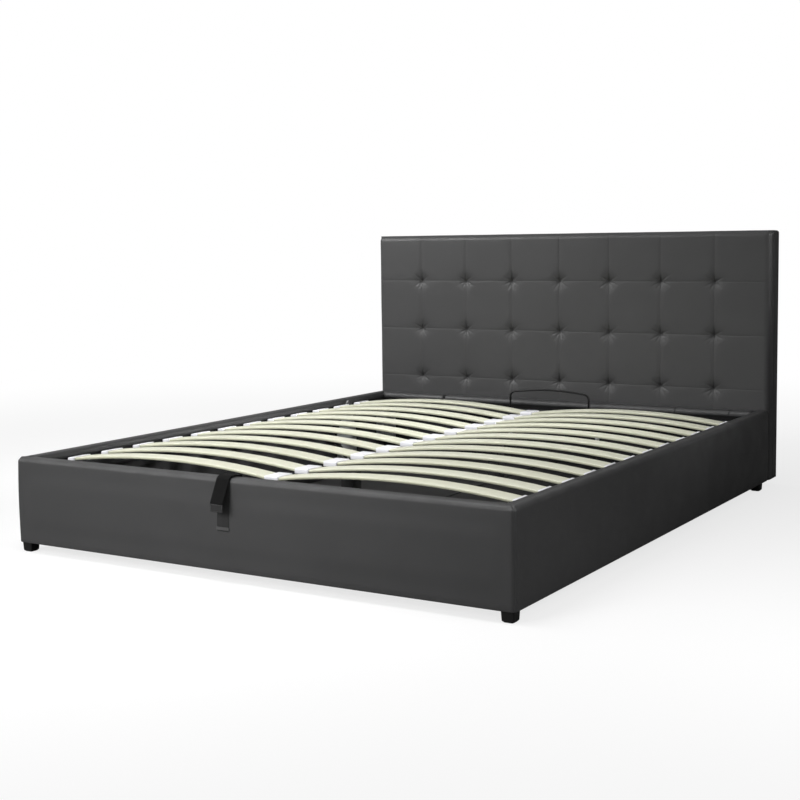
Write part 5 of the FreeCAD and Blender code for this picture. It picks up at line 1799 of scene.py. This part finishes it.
def tape(name, route, finish, width=TAPE_WIDTH):
    """Webbing along a route of centre points, with a flat map of its length and girth."""
    rings = []
    runs = [0.0]
    for k, spot in enumerate(route):
        before, after = route[max(k - 1, 0)], route[min(k + 1, len(route) - 1)]
        sideways, out = tape_sides((after - before).normalized())
        half = width / 2
        rings.append([spot + sideways * half * a + out * TAPE_THICK * b for a, b in TAPE_SHARES])
        if k:
            runs.append(runs[-1] + (spot - route[k - 1]).length)
    points, faces = loft(rings)
    piece = new_piece(name, points, faces, [finish])
    count = len(rings[0])
    flat = piece.data.uv_layers.new(name="tape")
    turns = [0.0]
    for j in range(1, count):
        turns.append(turns[-1] + (rings[0][j] - rings[0][j - 1]).length)
    for loop in piece.data.loops:
        k, j = divmod(loop.vertex_index, count)
        flat.data[loop.index].uv = (turns[j], runs[k])
    return piece


print("tape section", len(TAPE_SHARES), "points")

# %% way over the rail's edge
strap_top = anchor_high.z - TAPE_THICK / 2
edge_y = foot_face + CROWN + EDGE_RADIUS
LAP_STEPS = (9, 5, 1)
EDGE_EASE = 3 * MM


def over_edge(offset, lap, x, *angles):
    """Centre points from a lap on the anchor round the rail's top edge, offset above the cover."""
    radius = EDGE_RADIUS + CROWN + offset
    points = [(x, anchor_low.y + q * MM, strap_top + lap) for q in LAP_STEPS]
    points.append((x, edge_y + EDGE_EASE, RAIL_TOP + CROWN + offset))
    for angle in angles:
        points.append((x, edge_y + radius * math.cos(math.radians(angle)),
                       RAIL_TOP - EDGE_RADIUS + radius * math.sin(math.radians(angle))))
    return points


print("strap leaves its anchor at", round(strap_top, 4))

# %% routes of the rear layer and its hem
REAR_OFFSET = 1.2 * MM
REAR_RISE = 1 * MM
REAR_LEAN = 3 * MM
REAR_HANG = 1.3 * MM
REAR_WAVE = 0.4 * MM
REAR_TOP = 270 * MM
REAR_SHARES = (0.12, 0.3, 0.5, 0.7, 0.86, 1.0)
HEM_UP = (12, 9, 6, 3)
HEM_OUT = 1.6 * MM
hang = foot_face - REAR_HANG
rear_end = strap_low.z + REAR_RISE
rear_line = over_edge(REAR_OFFSET, -TAPE_THICK, STRAP_X, 100, 125, 150, 172)
rear_line += [(STRAP_X - REAR_LEAN * share, hang + REAR_WAVE * math.sin(6 * share),
               REAR_TOP + (rear_end - REAR_TOP) * share) for share in REAR_SHARES]
hem_line = [(STRAP_X - REAR_LEAN, hang - HEM_OUT, rear_end + q * MM) for q in HEM_UP]
print("strap ends at", round(rear_end, 3))

# %% routes of the flap and its tab
FLAP_OFFSET = 3.1 * MM
FLAP_SHIFT = 1 * MM
FLAP_OUT = 28 * MM
FLAP_END = 223 * MM
FLAP_LEAN = 4 * MM
FLAP_SHARES = (0.3, 0.65, 1.0)
TAB_LENGTH = 22 * MM
TAB_FOLD = ((1.4, 3), (0.4, -1), (0, -5))
TAB_SHARES = (0.6, 1.0)
front_line = over_edge(FLAP_OFFSET, TAPE_THICK, STRAP_X - FLAP_SHIFT, 100, 118, 136, 147)
bend = Vector(front_line[-1])
flap_tip = Vector((STRAP_X - FLAP_LEAN, foot_face - FLAP_OUT, FLAP_END))
front_line += [tuple(bend.lerp(flap_tip, share)) for share in FLAP_SHARES]
tab_line = [tuple(flap_tip + Vector((0, out, down)) * MM) for out, down in TAB_FOLD]
tab_line += [tuple(flap_tip - Vector((0, 0, TAB_LENGTH * share))) for share in TAB_SHARES]
print("flap ends at", FLAP_END)

# %% route of the anchor
ANCHOR_FOOT = 0.5 * MM
ANCHOR_STRAIGHT = 20 * MM
ANCHOR_TURN = 8 * MM
ANCHOR_CORNER = (3 * MM, 2.6 * MM)
ANCHOR_TOP_START, ANCHOR_TOP_END = 9 * MM, 10 * MM
anchor_back = anchor_high.y - TAPE_THICK / 2
anchor_line = [(STRAP_X, y, z) for y, z in (
    (anchor_back, anchor_low.z + ANCHOR_FOOT), (anchor_back, anchor_high.z - ANCHOR_STRAIGHT),
    (anchor_back, anchor_high.z - ANCHOR_TURN),
    (anchor_high.y - ANCHOR_CORNER[0], anchor_high.z - ANCHOR_CORNER[1]),
    (anchor_high.y - ANCHOR_TOP_START, strap_top), (anchor_low.y + ANCHOR_TOP_END, strap_top),
    (anchor_low.y, strap_top))]
print("anchor route", len(anchor_line), "corners")

# %% [markdown]
# The rear layer and the flap are lapped on the anchor.  The anchor moves with the platform, and
# the hem and the tab with the swinging strap; the rear layer and the flap keep the places they are
# made in.

# %% the strap and its anchor
REAR_NARROWER, TAB_NARROWER = 3 * MM, 1 * MM
hem_route = smooth_route(hem_line, 2)
tab_route = smooth_route(tab_line, 4)
rear = tape("strap_rear", smooth_route(rear_line, 5), grey_webbing, TAPE_WIDTH - REAR_NARROWER)
hem = tape("strap_hem", hem_route, hem_tape)
flap = tape("strap_flap", smooth_route(front_line, 5), black_webbing)
tab = tape("strap_tab", tab_route, grey_webbing, TAPE_WIDTH - TAB_NARROWER)
anchor = tape("strap_anchor_tape", smooth_route(anchor_line, 4), black_webbing)
for piece in (rear, flap):
    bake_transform(piece)
for piece, body in ((hem, "strap"), (tab, "strap"), (anchor, "platform")):
    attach(piece, body)
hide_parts("pull_strap")
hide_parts("strap_anchor")
print("strap", [len(piece.data.vertices) for piece in (rear, flap, hem, tab, anchor)], "points")

# %% [markdown]
# ### Stitches
# Thread shows on the strap's hem and in a box on the flap's tab.  A stitch is a short thick dash,
# and a tree sets dashes at an even pitch along a line: it turns the line into a curve, spaces
# points on it and lays one dash along each.

# %% stitch tree
thread, tree, shader, place = new_finish("grey_thread", 0.7)
tone = blend_colours(tree, grainy(tree, place, 700.0, 3.0), (0.07, 0.07, 0.07), (0.16, 0.16, 0.16))
tree.links.new(tone, shader.inputs["Base Color"])
stitch_tree, start = new_tree("stitches_on_line", [
    ("Pitch", "float"), ("Length", "float"), ("Radius", "float"), ("Finish", "material")])
take = start.outputs
line_curve = add_node(stitch_tree, "GeometryNodeMeshToCurve", Mesh=take["Geometry"])
spaced = add_node(stitch_tree, "GeometryNodeResampleCurve", mode="LENGTH",
                  Curve=line_curve.outputs[0], Length=take["Pitch"])
dash = add_node(stitch_tree, "GeometryNodeMeshUVSphere", Segments=6, Rings=4, Radius=1.0)
run = add_node(stitch_tree, "GeometryNodeInputTangent")
lying = add_node(stitch_tree, "FunctionNodeAlignRotationToVector", axis="Z", Vector=run.outputs[0])
half_length = add_node(stitch_tree, "ShaderNodeMath", operation="MULTIPLY", I0=take["Length"],
                       I1=0.5)
shape = add_node(stitch_tree, "ShaderNodeCombineXYZ", X=take["Radius"], Y=take["Radius"],
                 Z=half_length.outputs[0])
placed = add_node(stitch_tree, "GeometryNodeInstanceOnPoints", Points=spaced.outputs[0],
                  Instance=dash.outputs[0], Rotation=lying.outputs[0], Scale=shape.outputs[0])
end_tree(stitch_tree, placed.outputs[0], take["Finish"])
print("stitch tree", len(stitch_tree.nodes), "nodes")

# %% stitches on the hem and the tab
STITCH_PITCH = 3.2 * MM
STITCH_RADIUS = 0.35 * MM
STITCH_SHARE = 0.72
STITCH_LIFT = TAPE_THICK * 0.62
HEM_ROW = 4.5 * MM
HEM_ROW_SHARES = (-0.9, -0.4, 0.1, 0.5, 0.9)
TAB_BOX = ((2, -0.88), (2, 0.88), (20, 0.88), (20, -0.88), (2, -0.88))


def on_tape(route, run_back, across_share):
    """A place on a tape's outer face, run_back metres before its end."""
    left = run_back
    for k in range(len(route) - 1, 0, -1):
        length = (route[k] - route[k - 1]).length
        if left <= length:
            spot = route[k].lerp(route[k - 1], left / length)
            run = (route[k] - route[k - 1]).normalized()
            break
        left -= length
    sideways, out = tape_sides(run)
    if out.y > 0:
        out = -out
    return spot + sideways * TAPE_WIDTH / 2 * across_share + out * STITCH_LIFT


rows_of_thread = [[on_tape(hem_route, HEM_ROW, share) for share in HEM_ROW_SHARES],
                  [on_tape(tab_route, back_run * MM, share) for back_run, share in TAB_BOX]]
points = []
edges = []
for row_points in rows_of_thread:
    first = len(points)
    points += [tuple(p) for p in row_points]
    edges += [(first + k, first + k + 1) for k in range(len(row_points) - 1)]
thread_lines = bpy.data.meshes.new("strap_stitches_lines")
thread_lines.from_pydata(points, edges, [])
stitches = run_tree("strap_stitches", stitch_tree, {
    "Pitch": STITCH_PITCH, "Length": STITCH_PITCH * STITCH_SHARE, "Radius": STITCH_RADIUS,
    "Finish": thread}, thread_lines)
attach(stitches, "strap")

# %% [markdown]
# ## Finishes for the rigid parts
# Tubes, plates, pins, struts, feet and boards already have their right shape in the construction
# model, so they only take a finish.  The table below names the finish of each, by its full name or
# by the end of the name that a group of parts shares.

# %% dress the rigid parts
def ending(*ends):
    """Names of the parts that end in one of the given words."""
    return [name for name in frame["nodes"] if name.endswith(ends)]


by_finish = {
    chipboard: ending("_rail_board") + ["headboard_board"],
    pine: ending("_left_post", "_right_post", "_cross_rails"),
    # the floor panels, cleats, beam and centre posts are near black, which is partly painted shade
    # inside the box
    black_board_with_painted_shade: ending("_panel", "_cleat", "_beam", "_centre_post"),
    black_plastic: ending("_foot") + ["centre_feet", "mattress_stop"],
    # the hinge pins take the black coat as painted shade, for the dark gap beside the rail
    powder_coat: ending("_tube", "_ledger", "_strut_barrel", "_lift_arm", "_hinge_pin"),
    zinc_with_painted_shade: ending("_lift_bracket") + ["corner_brackets"],
    chrome: ending("_strut_rod"),
}
for finish, names in by_finish.items():
    for name in names:
        materials = frame["nodes"][name].data.materials
        materials.clear()
        materials.append(finish)
print("dressed", sum(len(names) for names in by_finish.values()), "of", len(frame["nodes"]))

# %% sizes and finish
seen_box = [list(corner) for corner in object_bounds()]
({"cad": [[float(q) for q in c] for c in cad_box],
           "visual": [[float(q) for q in c] for c in seen_box]})
print("visual box", seen_box)
